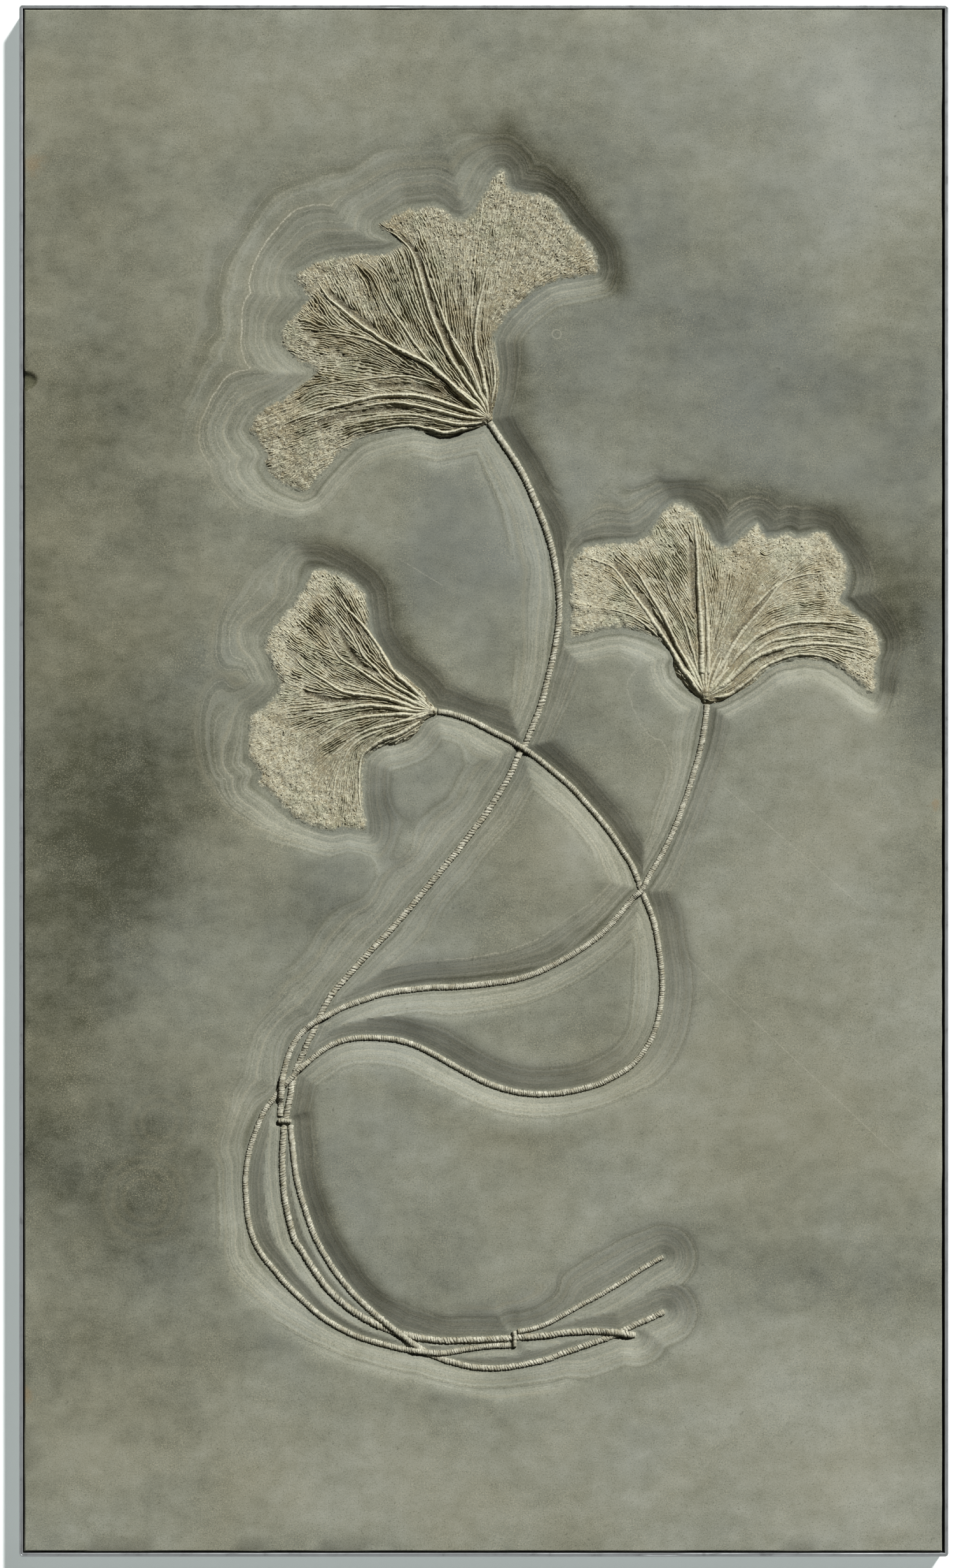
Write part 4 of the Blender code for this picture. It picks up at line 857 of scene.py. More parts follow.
crownLeft = {
    "ropeHigh": 0.0045,
    "spacing": 0.0028,
    "swell": 0.0038,
    "stain": 0.03,
    "bold": 0.90,
    "loose": (0.014, 0.75),
    "folds": (7, 0.042),
    "stout": (1.05, 0.8, 0.8, 0.95, 1.1, 1.0, 0.9, 1.0, 0.7, 0.6),
    "outline": [
        (688, 1113), (681, 1110), (673, 1097), (662, 1084), (651, 1073), (634, 1060),
        (617, 1047), (606, 1030), (595, 1012), (587, 994), (584, 976), (581, 950), (579, 936),
        (570, 922), (557, 911), (541, 900), (521, 893), (504, 891), (488, 894), (479, 905),
        (470, 923), (459, 941), (450, 954), (436, 968), (420, 985), (411, 1000), (410, 1017),
        (418, 1032), (425, 1050), (433, 1064), (436, 1076), (428, 1092), (410, 1108),
        (392, 1119), (387, 1134), (386, 1155), (385, 1173), (386, 1194), (397, 1204),
        (403, 1216), (399, 1232), (411, 1240), (428, 1254), (441, 1271), (459, 1288),
        (481, 1298), (503, 1306), (522, 1310), (547, 1305), (566, 1309), (578, 1310),
        (579, 1293), (575, 1271), (573, 1249), (574, 1218), (577, 1196), (588, 1182),
        (603, 1173), (624, 1170), (642, 1163), (656, 1151), (667, 1134), (680, 1125),
        (687.5, 1122)],
    "cup": (682, 1117),
    "arms": [
        [(668, 1100), (642, 1076), (625, 1062), (611, 1044), (598, 1021), (586, 1003),
         (573, 986), (557, 968), (544, 954), (530, 931)],
        [(664, 1104), (646, 1092), (611, 1071), (589, 1048), (571, 1030), (562, 1012),
         (553, 994), (540, 977), (526, 959), (515, 944)],
        [(660, 1108), (640, 1099), (611, 1084), (584, 1066), (557, 1048), (535, 1034),
         (522, 1017), (512, 999), (504, 984)],
        [(655, 1112), (611, 1098), (575, 1092), (540, 1087), (513, 1071), (490, 1057),
         (472, 1043), (458, 1025)],
        [(655, 1117), (611, 1111), (575, 1108), (544, 1113), (513, 1118), (477, 1120)],
        [(655, 1122), (600, 1124), (566, 1128), (544, 1134), (522, 1146), (500, 1162)],
        [(657, 1127), (620, 1137), (584, 1146), (557, 1159), (535, 1176), (512, 1196)],
        [(660, 1133), (629, 1153), (603, 1162), (582, 1175), (567, 1194), (564, 1236),
         (567, 1282)],
        [(600, 1146), (560, 1166), (540, 1192), (526, 1230), (524, 1276)],
        [(530, 1150), (500, 1172), (478, 1204), (470, 1240)],
    ],
    "furrows": [
        [(600, 1058), (570, 1046), (548, 1020), (534, 992)],
        [(560, 1100), (520, 1100), (480, 1088)],
        [(620, 1122), (570, 1120)],
    ],
    "strokes": [
        [(520, 1052), (480, 1022), (440, 990)], [(505, 1012), (470, 980), (450, 960)],
        [(560, 985), (530, 930), (505, 900)], [(535, 960), (500, 925), (480, 905)],
        [(600, 1136), (545, 1160), (480, 1196), (430, 1240)],
        [(560, 1124), (490, 1142), (410, 1180)], [(560, 1190), (550, 1250), (548, 1300)],
        [(530, 1192), (508, 1245), (495, 1295)], [(505, 1180), (470, 1235), (450, 1270)],
        [(480, 1106), (430, 1112), (395, 1130)], [(470, 1075), (440, 1060), (420, 1030)],
        [(600, 1020), (578, 970), (560, 930)], [(560, 1040), (520, 1030), (470, 1010)],
        [(520, 1140), (480, 1165), (450, 1200)], [(590, 1160), (565, 1200), (558, 1250)],
    ],
    "valleys": [
        ([(640, 1088), (600, 1078), (560, 1068), (520, 1070)], 8, 0.7),
        ([(600, 1050), (570, 1010), (545, 960), (530, 930)], 11, 0.9),
        ([(560, 1045), (520, 1010), (500, 970)], 8, 0.7),
        ([(620, 1105), (560, 1100), (500, 1102)], 5, 0.7),
        ([(610, 1130), (560, 1150), (520, 1185)], 6, 0.5),
        ([(620, 1072), (585, 1030), (572, 985)], 6, 0.5),
    ],
    "grains": [
        (430, 1175, 44), (500, 1275, 44), (440, 1245, 40), (428, 1010, 30), (500, 912, 28),
        (408, 1135, 30), (556, 1296, 26), (470, 1220, 30), (440, 1045, 20), (545, 925, 20),
        (460, 965, 20),
    ],
}

crownRight = {
    "ropeHigh": 0.0032,
    "spacing": 0.0027,
    "swell": 0.0026,
    "stain": 0.0,
    "bold": 0.64,
    "loose": (0.020, 0.60),
    "folds": (10, 0.060),
    "stout": (1.2, 0.9, 0.7, 1.3, 1.1, 1.1, 1.3, 1.1, 0.9, 0.9, 0.5, 0.55, 0.7),
    "outline": [
        (1107, 1105.5), (1101, 1099), (1090, 1090), (1076, 1075), (1063, 1060), (1058, 1045),
        (1060, 1033), (1054, 1021), (1040, 1010), (1020, 999), (1000, 993), (976, 989),
        (950, 992), (925, 999), (905, 1004), (893, 1007), (893, 985), (893, 940), (893, 900),
        (898, 878), (905, 864), (920, 854), (940, 850), (960, 848), (980, 847), (1000, 845),
        (1016, 834), (1030, 817), (1041, 797), (1056, 785), (1071, 784), (1088, 791),
        (1103, 806), (1116, 828), (1125, 847), (1136, 855), (1148, 852), (1163, 838),
        (1180, 823), (1190, 817), (1197, 823), (1205, 837), (1224, 837), (1242, 832),
        (1256, 839), (1270, 835), (1286, 831), (1303, 833), (1316, 853), (1329, 868),
        (1338, 889), (1339, 904), (1334, 924), (1328, 940), (1339, 950), (1348, 960),
        (1365, 970), (1382, 988), (1390, 1006), (1390, 1021), (1385, 1037), (1383, 1060),
        (1383, 1086), (1375, 1100), (1357, 1086), (1342, 1070), (1326, 1057), (1301, 1042),
        (1265, 1037), (1230, 1043), (1209, 1052), (1196, 1065), (1179, 1078), (1158, 1090),
        (1133, 1102), (1117, 1106.5)],
    "cup": (1110, 1095),
    "arms": [
        [(1100, 1088), (1085, 1066), (1071, 1047), (1059, 1024), (1041, 996), (1020, 965),
         (1005, 945), (985, 918), (975, 904), (962, 890), (942, 881), (918, 874)],
        [(1098, 1074), (1081, 1042), (1066, 1014), (1051, 984), (1036, 955), (1020, 929),
         (1005, 904), (985, 880), (965, 862)],
        [(1097, 1052), (1084, 1004), (1071, 965), (1056, 938), (1045, 905)],
        [(1104, 1060), (1104, 1026), (1103, 986), (1100, 945), (1098, 904), (1097, 873),
         (1094, 838), (1089, 804)],
        [(1115, 1060), (1114, 1026), (1113, 986), (1110, 945), (1106, 914), (1104, 884)],
        [(1125, 1062), (1138, 1040), (1153, 1014), (1173, 985), (1194, 962), (1219, 929),
         (1240, 904), (1260, 883), (1285, 862)],
        [(1122, 1085), (1140, 1074), (1160, 1056), (1179, 1038), (1204, 1025), (1230, 1017),
         (1260, 1012), (1291, 1011), (1326, 1014), (1357, 1019), (1379, 1027)],
        [(1150, 1044), (1163, 1026), (1189, 1001), (1219, 986), (1255, 978), (1296, 977),
         (1337, 981), (1375, 993)],
        [(1180, 1030), (1209, 1009), (1235, 1003), (1275, 998), (1316, 1000), (1357, 1007)],
        [(1120, 1096), (1142, 1092), (1162, 1080), (1180, 1067), (1198, 1050), (1225, 1036),
         (1262, 1028), (1298, 1032), (1326, 1046)],
        [(1040, 1004), (1010, 978), (980, 962), (940, 955), (905, 956)],
        [(1128, 1010), (1150, 960), (1170, 915), (1185, 870)],
        [(1180, 960), (1215, 925), (1255, 905), (1300, 900)],
    ],
    "furrows": [
        [(1078, 1046), (1062, 1016), (1046, 990), (1022, 955), (990, 915), (968, 884)],
        [(1092, 960), (1089, 900), (1086, 850)],
        [(1150, 1070), (1172, 1050), (1196, 1036), (1230, 1026)],
        [(1150, 1006), (1180, 968), (1210, 930)],
    ],
    "strokes": [
        [(990, 905), (960, 890), (935, 880), (905, 880)], [(1010, 960), (960, 945), (900, 930)],
        [(1030, 995), (980, 975), (900, 975)], [(1088, 995), (1055, 937), (1017, 891), (980, 853)],
        [(1067, 987), (1034, 937), (1001, 899), (959, 857)],
        [(1092, 868), (1078, 840), (1058, 812)], [(1093, 890), (1076, 862), (1050, 830)],
        [(1090, 925), (1068, 888), (1042, 856)], [(1092, 960), (1070, 925), (1048, 890)],
        [(1094, 990), (1072, 960), (1040, 905), (1020, 865)],
        [(1118, 900), (1110, 860), (1104, 825)], [(1126, 1040), (1140, 960), (1152, 890)],
        [(1130, 1000), (1150, 940), (1172, 895)], [(1150, 895), (1180, 862), (1215, 846)],
        [(1172, 830), (1185, 846), (1195, 862)], [(1140, 1040), (1172, 985), (1205, 925)],
        [(1225, 885), (1250, 858), (1272, 834)], [(1176, 970), (1230, 915), (1262, 872)],
        [(1172, 990), (1205, 950), (1240, 932), (1300, 928), (1345, 926)],
        [(1165, 1010), (1190, 975), (1235, 955), (1330, 950)],
        [(1222, 925), (1260, 903), (1300, 892), (1340, 890)],
        [(1235, 905), (1270, 880), (1310, 872), (1336, 874)],
        [(1200, 1000), (1260, 975), (1340, 985)], [(1200, 1030), (1260, 1008), (1330, 1010)],
        [(1300, 1034), (1350, 1062), (1380, 1090)], [(1310, 1022), (1350, 1036), (1388, 1062)],
    ],
    "grains": [
        (925, 880, 44), (920, 950, 46), (1005, 855, 26), (1066, 800, 24), (1195, 842, 30),
        (1265, 852, 34), (1315, 915, 36), (1352, 1062, 36), (1375, 1000, 26),
        (1240, 868, 30), (960, 975, 36), (1300, 870, 30), (1160, 880, 26),
    ],
    "valleys": [
        ([(1070, 1030), (1040, 990), (1005, 940), (970, 895)], 5, 0.6),
        ([(1098, 1000), (1092, 950), (1088, 900), (1086, 860)], 6, 0.8),
        ([(1150, 1050), (1190, 1010), (1240, 990), (1300, 985)], 5, 0.5),
        ([(1120, 1060), (1124, 1010), (1130, 950)], 6, 0.35),
        ([(1165, 1000), (1190, 960), (1225, 920), (1255, 890)], 6, 0.5),
        ([(1080, 1020), (1062, 960), (1040, 910)], 4, 0.4),
    ],
}

crowns = {"crown_upper": crownUpper, "crown_left": crownLeft, "crown_right": crownRight}


crownShape = {
    "matEdge": -0.0003,         # the mat sinks into the floor this far at its outline
    "matRise": (0.0058, 0.0140),    # how wide that edge is, at the cup and far out
    "ragged": 0.0011,
    "matCell": 0.0025,
    "matThick": 0.0021,         # before the swell round the cup
    "bankHigh": 0.0013,         # the mat rises beside the arms
    "furrow": 0.0026,
    "valley": 0.0032,
    "fold": 0.0010,             # long soft folds that fan out from the cup
    "ropeHalf": 0.0033,         # half width of an arm at the cup
    "ropeTip": 0.38,            # what is left of its size at the arm's tip
    "ropeSection": ((-1.0, 0.0), (-0.82, 0.42), (-0.42, 0.84), (0.0, 1.0), (0.42, 0.84),
                    (0.82, 0.42), (1.0, 0.0)),
    "platePitch": 0.0036,
    "shine": 0.72,              # painted highlight: how much paler the crests of the arms are
    "strandHigh": 0.95,         # height of the fine branches, as a share of their spacing
    "strandSection": ((-1.0, 0.0, 1.0), (-0.62, 0.66, 0.22), (0.0, 1.0, -0.15),
                      (0.62, 0.66, 0.22), (1.0, 0.0, 1.0)),     # across, up, and painted shade: dark at the foot, pale on the crest as painted highlight
    "station": 0.0025,
    "wave": 0.0011,
    "grainGap": 0.0024,
    "grainWide": 0.00098,
    "cut": (("crown_right", 3), ("crown_right", 4)),    # arms broken off short of the cup
    # rows of the cup: how far out, half width, height
    "cupRows": ((-0.0035, 0.0036, 0.0058), (-0.0022, 0.0048, 0.0068), (-0.0004, 0.0044, 0.0064),
                (0.0006, 0.0056, 0.0072), (0.0040, 0.0068, 0.0080), (0.0060, 0.0072, 0.0078),
                (0.0072, 0.0080, 0.0082), (0.0115, 0.0086, 0.0080), (0.0150, 0.0080, 0.0066)),
    "cupPoints": 13,
    "pixel": 0.0010,
}


def fieldGrid(low, shape, pixel):
    grids = np.meshgrid(*(low[k] + pixel * np.arange(shape[k]) for k in (0, 1)), indexing="ij")
    return np.stack([grid.ravel() for grid in grids], 1)


def look(field, key, q):
    # value of a measured grid at the points q
    grid = field[key]
    x = np.clip((q[:, 0] - field["low"][0]) / field["pixel"], 0, grid.shape[0] - 1.001)
    y = np.clip((q[:, 1] - field["low"][1]) / field["pixel"], 0, grid.shape[1] - 1.001)
    i, j = x.astype(int), y.astype(int)
    u, v = x - i, y - j
    if grid.ndim == 3:
        u, v = u[:, None], v[:, None]
    return ((grid[i, j] * (1 - u) + grid[i + 1, j] * u) * (1 - v)
            + (grid[i, j + 1] * (1 - u) + grid[i + 1, j + 1] * u) * v)


def fanOut(q, cup, far):
    # turned and stretched so that noise runs out from the cup
    return np.stack([np.arctan2(q[:, 1] - cup[1], q[:, 0] - cup[0]) * 0.10, far * 0.30], 1)


def crownField(name):
    # everything the pieces of a crown need to know, measured once on a grid
    crown, pixel = crowns[name], crownShape["pixel"]
    outline, cup = placeAll(crown["outline"]), np.array(place(crown["cup"]))
    low = outline.min(axis=0) - 0.006
    shape = ((outline.max(axis=0) + 0.006 - low) / pixel).astype(int) + 2
    q = fieldGrid(low, shape, pixel)
    field = {"low": low, "pixel": pixel, "outline": outline, "cup": cup}

    rim = distanceToLine(q, outline, True)
    rim[~insideLoop(q, outline)] *= -1
    far = np.linalg.norm(q - cup, axis=1)
    grain = np.zeros(len(q))
    for x, y, r in crown["grains"]:
        cx, cy = place((x, y))
        d = np.hypot(q[:, 0] - cx, q[:, 1] - cy) / (r * plan["unit"])
        grain = np.maximum(grain, 1 - steps(d + 0.30 * waves(q, 0.008, 44), 0.60, 1.30))
    bank = np.full(len(q), 1.0)
    for arm in crown["arms"]:
        bank = np.minimum(bank, distanceToLine(q, evenly(smoothLine(placeAll(arm), 0.002), 0.010),
                                               False))
    loose, stray = crown["loose"]
    grain = np.maximum(grain, steps(bank, loose, 2 * loose) * steps(far, 0.08, 0.14) * stray)
    fan = fanOut(q, cup, far)
    folds = waves(fan, 0.0085, 46) + 0.5 * waves(fan, 0.0040, 47)
    full = crownShape["matThick"] + crown["swell"] * np.exp(-(far / 0.12) ** 2)
    full += crownShape["fold"] * folds * steps(far, 0.02, 0.08)
    full += crownShape["bankHigh"] * np.exp(-(bank / 0.0055) ** 2)
    full += 0.0005 * waves(q, 0.024, 41)
    full += grain * (0.0011 * waves(q, 0.0075, 42) + 0.0007 * waves(q, 0.0042, 43))
    # dim: painted shade laid in the furrows and valleys
    dim = np.zeros(len(q))
    for furrow in crown["furrows"]:
        d = distanceToLine(q, smoothLine(placeAll(furrow), 0.004), False)
        full -= crownShape["furrow"] * np.exp(-(d / 0.0036) ** 2)
        dim = np.maximum(dim, 0.9 * np.exp(-(d / 0.0040) ** 2))
        grain *= steps(d, 0.003, 0.008)
    for points, wide, much in crown["valleys"]:
        line = smoothLine(placeAll(points), 0.004)
        d = distanceToLine(q, line, False) / (wide * plan["unit"]) + 0.25 * waves(q, 0.010, 49)
        dip = much * np.exp(-np.maximum(d, 0.0) ** 2)
        full -= crownShape["valley"] * dip
        dim = np.maximum(dim, dip)
        grain *= 1 - 0.8 * dip
    full = np.maximum(full, 0.0008)
    near, wide = crownShape["matRise"]
    wide = near + (wide - near) * steps(far, 0.05, 0.14)
    rise = steps(rim / wide * (1 + 0.4 * waves(q, 0.008, 45)), 0.0, 1.0)
    edge = crownShape["matEdge"]
    field["height"] = (edge + (full - edge) * rise).reshape(shape)
    for key, value in (("rim", rim), ("grain", grain), ("bank", bank), ("far", far), ("dim", dim)):
        field[key] = value.reshape(shape)
    film = 1 - steps(rim + 0.0034 * waves(q, 0.007, 48), 0.0, 0.0120)
    field["film"] = (film * steps(far, 0.03, 0.12)).reshape(shape)

    # which way the branches run, from the noted strokes and, weakly, the arms
    total = (q - cup) / (far[:, None] + 1e-6) * 70.0
    for lines, weight, gap in ((crown["arms"], 0.30, 0.006), (crown["strokes"], 3.2, 0.008)):
        for points in lines:
            line = evenly(smoothLine(placeAll(points), 0.002), gap)
            for p, w in zip(line, headings(line)):
                k = weight / ((q[:, 0] - p[0]) ** 2 + (q[:, 1] - p[1]) ** 2 + 0.005 ** 2) ** 2
                total += (k * 1e-6)[:, None] * w
    field["flow"] = (total / np.linalg.norm(total, axis=1)[:, None]).reshape(*shape, 2)
    return field


def traceStrands(name, field, ropes, furrows):
    # lines that follow the flow from arm to arm and leave an even gap
    gap = crowns[name]["spacing"]
    outline, pixel, low = field["outline"], 0.0005, field["low"]
    nx, ny = (s * 2 for s in field["rim"].shape)
    flow, half = field["flow"], crownShape["pixel"]
    cells = fieldGrid(low, (nx, ny), pixel)
    shut = (look(field, "rim", cells) < 0.0004).reshape(nx, ny)
    taken, crowded = shut.astype(np.int32), shut.astype(np.int32)

    def stamp(where, points, radius, number):
        r = int(math.ceil(radius / pixel))
        a = np.arange(-r, r + 1)
        disc = (a[:, None] ** 2 + a[None, :] ** 2) <= (radius / pixel) ** 2
        for p in points:
            i, j = int((p[0] - low[0]) / pixel), int((p[1] - low[1]) / pixel)
            if r < i < nx - r - 1 and r < j < ny - r - 1:
                part = where[i - r:i + r + 1, j - r:j + r + 1]
                part[disc & (part == 0)] = number

    def seedBeside(line, way, places, out):
        for a in places:
            for turn in (-1, 1):
                seeds.append((line[a][0] + turn * way[a][1] * out[a],
                              line[a][1] - turn * way[a][0] * out[a]))

    seeds = []
    for line, wide, _ in ropes:
        for a in range(0, len(line), 2):
            stamp(taken, line[a:a + 2], wide[a] + 0.30 * gap, 2)
            stamp(crowded, line[a:a + 2], wide[a] + 0.45 * gap, 2)
        seedBeside(line, headings(line), range(4, len(line), 2), wide + 0.62 * gap)
    for line in furrows:
        stamp(taken, evenly(line, 0.001), 0.0026, 2)
        stamp(crowded, evenly(line, 0.001), 0.0028, 2)

    rng = np.random.default_rng(len(name) * 7 + 3)
    extra = rng.uniform(outline.min(axis=0), outline.max(axis=0), (9000, 2))
    strands, number, head, step = [], 3, 0, 0.0010
    while head < len(seeds) + len(extra):
        x, y = seeds[head] if head < len(seeds) else extra[head - len(seeds)]
        head += 1
        i, j = int((x - low[0]) / pixel), int((y - low[1]) / pixel)
        if not (0 < i < nx and 0 < j < ny) or crowded[i, j]:
            continue
        loose = 1.0 + 0.38 * float(waves(np.array([[x, y]]), 0.013, 71)[0])
        parts = []
        for turn in (1, -1):
            px, py, path = x, y, []
            for _ in range(int(rng.uniform(60, 260))):
                way = flow[int((px - low[0]) / half), int((py - low[1]) / half)]
                px, py = px + turn * step * way[0], py + turn * step * way[1]
                if taken[int((px - low[0]) / pixel), int((py - low[1]) / pixel)]:
                    break
                path.append((px, py))
            parts.append(path)
        path = parts[1][::-1] + [(x, y)] + parts[0]
        if len(path) < 7:
            stamp(crowded, [(x, y)], 0.5 * gap, 2)
            continue
        line = np.array(path)
        stamp(taken, line, 0.58 * gap * loose, number)
        stamp(crowded, line, 0.88 * gap * loose, number)
        number += 1
        strands.append((line, loose))
        if head <= len(seeds):
            seedBeside(line, headings(line, 1e-9), range(0, len(line), 3),
                       np.full(len(line), gap * loose))
    return strands


def finishCrown(name, part, verts, faces, stone, sharp, pit, film):
    # pit carries painted shade in the gaps and at the feet, pale crests as painted highlight below
    # zero, and dark joints and stains
    piece = addPiece(pieceTitle(name, part), verts, faces, stone, sharp,
                     {"pit": np.clip(pit, -0.5, 1), "film": np.clip(film, 0, 1)})
    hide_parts(name)
    return piece


def buildMat(name, field, stone):
    # the uneven sheet that carries the arms and branches
    outline = field["outline"]
    rng = np.random.default_rng(len(name) * 13)
    edge = evenly(np.vstack([outline, outline[:1]]), 0.0026)[:-1]
    edge = edge + crownShape["ragged"] * np.stack(
        [waves(edge, 0.009, 91) + 0.6 * waves(edge, 0.0042, 92),
         waves(edge, 0.009, 93) + 0.6 * waves(edge, 0.0042, 94)], 1)
    cell = crownShape["matCell"]
    low, high = edge.min(axis=0), edge.max(axis=0)
    gx, gy = np.meshgrid(np.arange(low[0], high[0], cell), np.arange(low[1], high[1], cell * 0.866),
                         indexing="ij")
    gx = gx + (np.arange(gx.shape[1])[None, :] % 2) * cell / 2
    q = np.stack([gx.ravel(), gy.ravel()], 1)
    q = q + rng.uniform(-0.22, 0.22, q.shape) * cell
    q = q[insideLoop(q, edge)]
    q = q[distanceToLine(q, edge, True) > 0.0013]
    n = len(edge)
    ring = [(k, (k + 1) % n) for k in range(n)]
    flat, _, tris, _, _, _ = delaunay_2d_cdt([Vector(p) for p in np.vstack([edge, q])], ring, [],
                                             1, 1e-7)
    flat = np.array([tuple(v) for v in flat])
    h, grain, rim = (look(field, key, flat) for key in ("height", "grain", "rim"))
    h = h + (0.00025 + 0.00060 * grain) * rng.uniform(-1, 1, len(h)) * steps(rim, 0.0, 0.004)
    verts = [(x, y, floorZ + z) for (x, y), z in zip(flat, h)]
    faces = [tuple(t) for t in tris]
    edges = {(a, b) for t in faces for a, b in zip(t, t[1:] + t[:1])}
    after = dict(e for e in edges if (e[1], e[0]) not in edges)
    order = [min(after)]
    while after[order[-1]] != order[0]:
        order.append(after[order[-1]])
    first, m = len(verts), len(order)
    verts += [(flat[a][0], flat[a][1], floorZ - 0.0008) for a in order]
    faces += [(order[(k + 1) % m], order[k], first + k, first + (k + 1) % m) for k in range(m)]
    faces.append(tuple(first + k for k in range(m))[::-1])
    near = np.exp(-(look(field, "far", flat) / 0.09) ** 2)
    bold = crowns[name]["bold"]
    # the mat is painted dark as shade between the branches, more near the cup and in the valleys; the
    # stain is the crown's own tone
    pit = np.maximum((0.44 + 0.32 * near - 0.24 * grain) * bold + crowns[name]["stain"] * grain,
                     0.95 * look(field, "dim", flat) * min(1.0, bold + 0.2))
    film = look(field, "film", flat)
    return finishCrown(name, "Mat", verts, faces, stone, None, np.append(pit, np.full(m, 0.3)),
                       np.append(film, np.ones(m)))


def plateMarks(rng, length):
    # places along an arm with how far each is pinched: tight at the joint between two plates
    marks, tight, s = [], [], 0.0
    while s < length:
        pitch = crownShape["platePitch"] * rng.uniform(0.80, 1.25)
        joint = rng.uniform(0.88, 0.99)
        for phase, pinch in ((0.0, joint), (0.30, 1.0), (0.70, 1.01)):
            if s + phase * pitch < length:
                marks.append(s + phase * pitch)
                tight.append(pinch)
        s += pitch
    return np.array(marks), np.array(tight)


def buildArms(name, field, stone, ropes):
    # the thick arms, each a row of short plates
    verts, faces, pit = [], [], []
    section = crownShape["ropeSection"]
    rng = np.random.default_rng(len(name) * 17)
    shine = crownShape["shine"] * crowns[name]["bold"]
    for number, (line, half, high) in enumerate(ropes):
        run = runLength(line)
        marks, tight = plateMarks(rng, run[-1])
        c = pointsAt(marks, run, line)
        c = c + 0.0005 * np.stack([waves(c, 0.010, 54), waves(c, 0.010, 55)], 1)
        side = rightOf(headings(c))
        lead = 0.002 if (name, number) in crownShape["cut"] else 0.015
        ends = np.minimum(steps(marks, -0.25 * lead, lead), steps(run[-1] - marks, -0.001, 0.020))
        w = np.interp(marks, run, half) * (0.6 + 0.4 * tight) * (0.35 + 0.65 * ends)
        w = w * (1 + 0.16 * waves(c, 0.012, 59) + 0.06 * rng.uniform(-1, 1, len(marks)))
        h = np.interp(marks, run, high) * tight * (1 + 0.07 * rng.uniform(-1, 1, len(marks)))
        h = h * (1 + 0.22 * waves(c, 0.018, 56))
        ground = look(field, "height", c) - 0.0010
        start = len(verts)
        for k in range(len(marks)):
            for u, v in section:
                p = c[k] + side[k] * u * w[k]
                rough = 1 + 0.12 * rng.uniform(-1, 1)
                verts.append((p[0], p[1],
                              floorZ + ground[k] + (h[k] * ends[k] + 0.0008) * v * rough))
                # painted shade at each plate's foot, painted highlight on its crest, dark joints
                # between the plates and random tone
                pit.append(max(1.0 - 1.7 * v, 0.0) * 0.95 + 0.22 * rng.uniform(-1, 1)
                           - shine * max(0.0, v - 0.4) + max(0.0, 1 - tight[k]) * 2.6 * (1 - v))
        walls, ends = tubeFaces(start, len(marks), len(section))
        faces += walls + ends
    return finishCrown(name, "Arms", verts, faces, stone, 0.9, pit, np.zeros(len(verts)))


def buildBranches(name, field, stone, strands):
    # fine side branches: low ridges lying on the mat
    rng = np.random.default_rng(len(name) * 19)
    verts, faces, pit, film = [], [], [], []
    section, spacing = crownShape["strandSection"], crowns[name]["spacing"]
    cup, bold = field["cup"], crowns[name]["bold"]
    for line, loose in strands:
        c = evenly(line, crownShape["station"])
        if len(c) < 3:
            continue
        side = rightOf(headings(c, 1e-9))
        shift = crownShape["wave"] * steps(look(field, "bank", c), 0.002, 0.009) * (
            waves(c, 0.0085, 51) + 0.7 * waves(c, 0.0040, 52))
        c = c + side * shift[:, None]
        grain, far, edge = (look(field, key, c) for key in ("grain", "far", "film"))
        fan = fanOut(c, cup, far)
        bundle = 1 + 0.45 * waves(fan, 0.0055, 57)
        dim = look(field, "dim", c)
        tall = crownShape["strandHigh"] * spacing * rng.uniform(0.60, 1.25)
        tall = tall * (1 - 0.62 * grain) * bundle
        tall *= bold * (0.25 + 0.75 * steps(waves(c, 0.0095, 60), -0.9, -0.1))
        tall = tall * (1 + 0.24 * rng.uniform(-1, 1, len(c))) * (1 + 0.30 * waves(c, 0.014, 53))
        tall *= 1 + 0.25 * waves(c, 0.0042, 58)
        c = c + side * rng.uniform(-0.00028, 0.00028, len(c))[:, None]
        tall *= np.where(rng.uniform(0, 1, len(c)) < 0.50 * grain, 0.15, 1.0) * (1 - 0.85 * edge)
        ends = np.minimum(np.arange(len(c)) + 0.6, len(c) - np.arange(len(c)) - 0.4) / 4.0
        ends = np.minimum(ends, 1.0)
        tall *= ends
        ground = look(field, "height", c) - 0.0005 * (1 - 0.7 * edge)
        half = spacing * 0.37 * loose * rng.uniform(0.75, 1.15)
        wide = half * (1 + 0.14 * rng.uniform(-1, 1, len(c))) * (0.45 + 0.55 * ends)
        # painted shade in the gaps at the branches' feet and in the valleys
        gapShade = bold * np.maximum(0.50 + 0.30 * np.exp(-(far / 0.10) ** 2) - 0.20 * grain,
                                    0.95 * dim)
        start = len(verts)
        for k in range(len(c)):
            for u, v, dark in section:
                p = c[k] + side[k] * wide[k] * u
                verts.append((p[0], p[1], floorZ + ground[k]
                              + (0.0005 * (1 - edge[k]) + tall[k]) * v))
                pit.append(gapShade[k] * dark + 0.15 * dim[k])
            film += [edge[k]] * len(section)
        walls, ends = tubeFaces(start, len(c), len(section))
        faces += walls + ends
    return finishCrown(name, "Branches", verts, faces, stone, 1.0, pit, film)


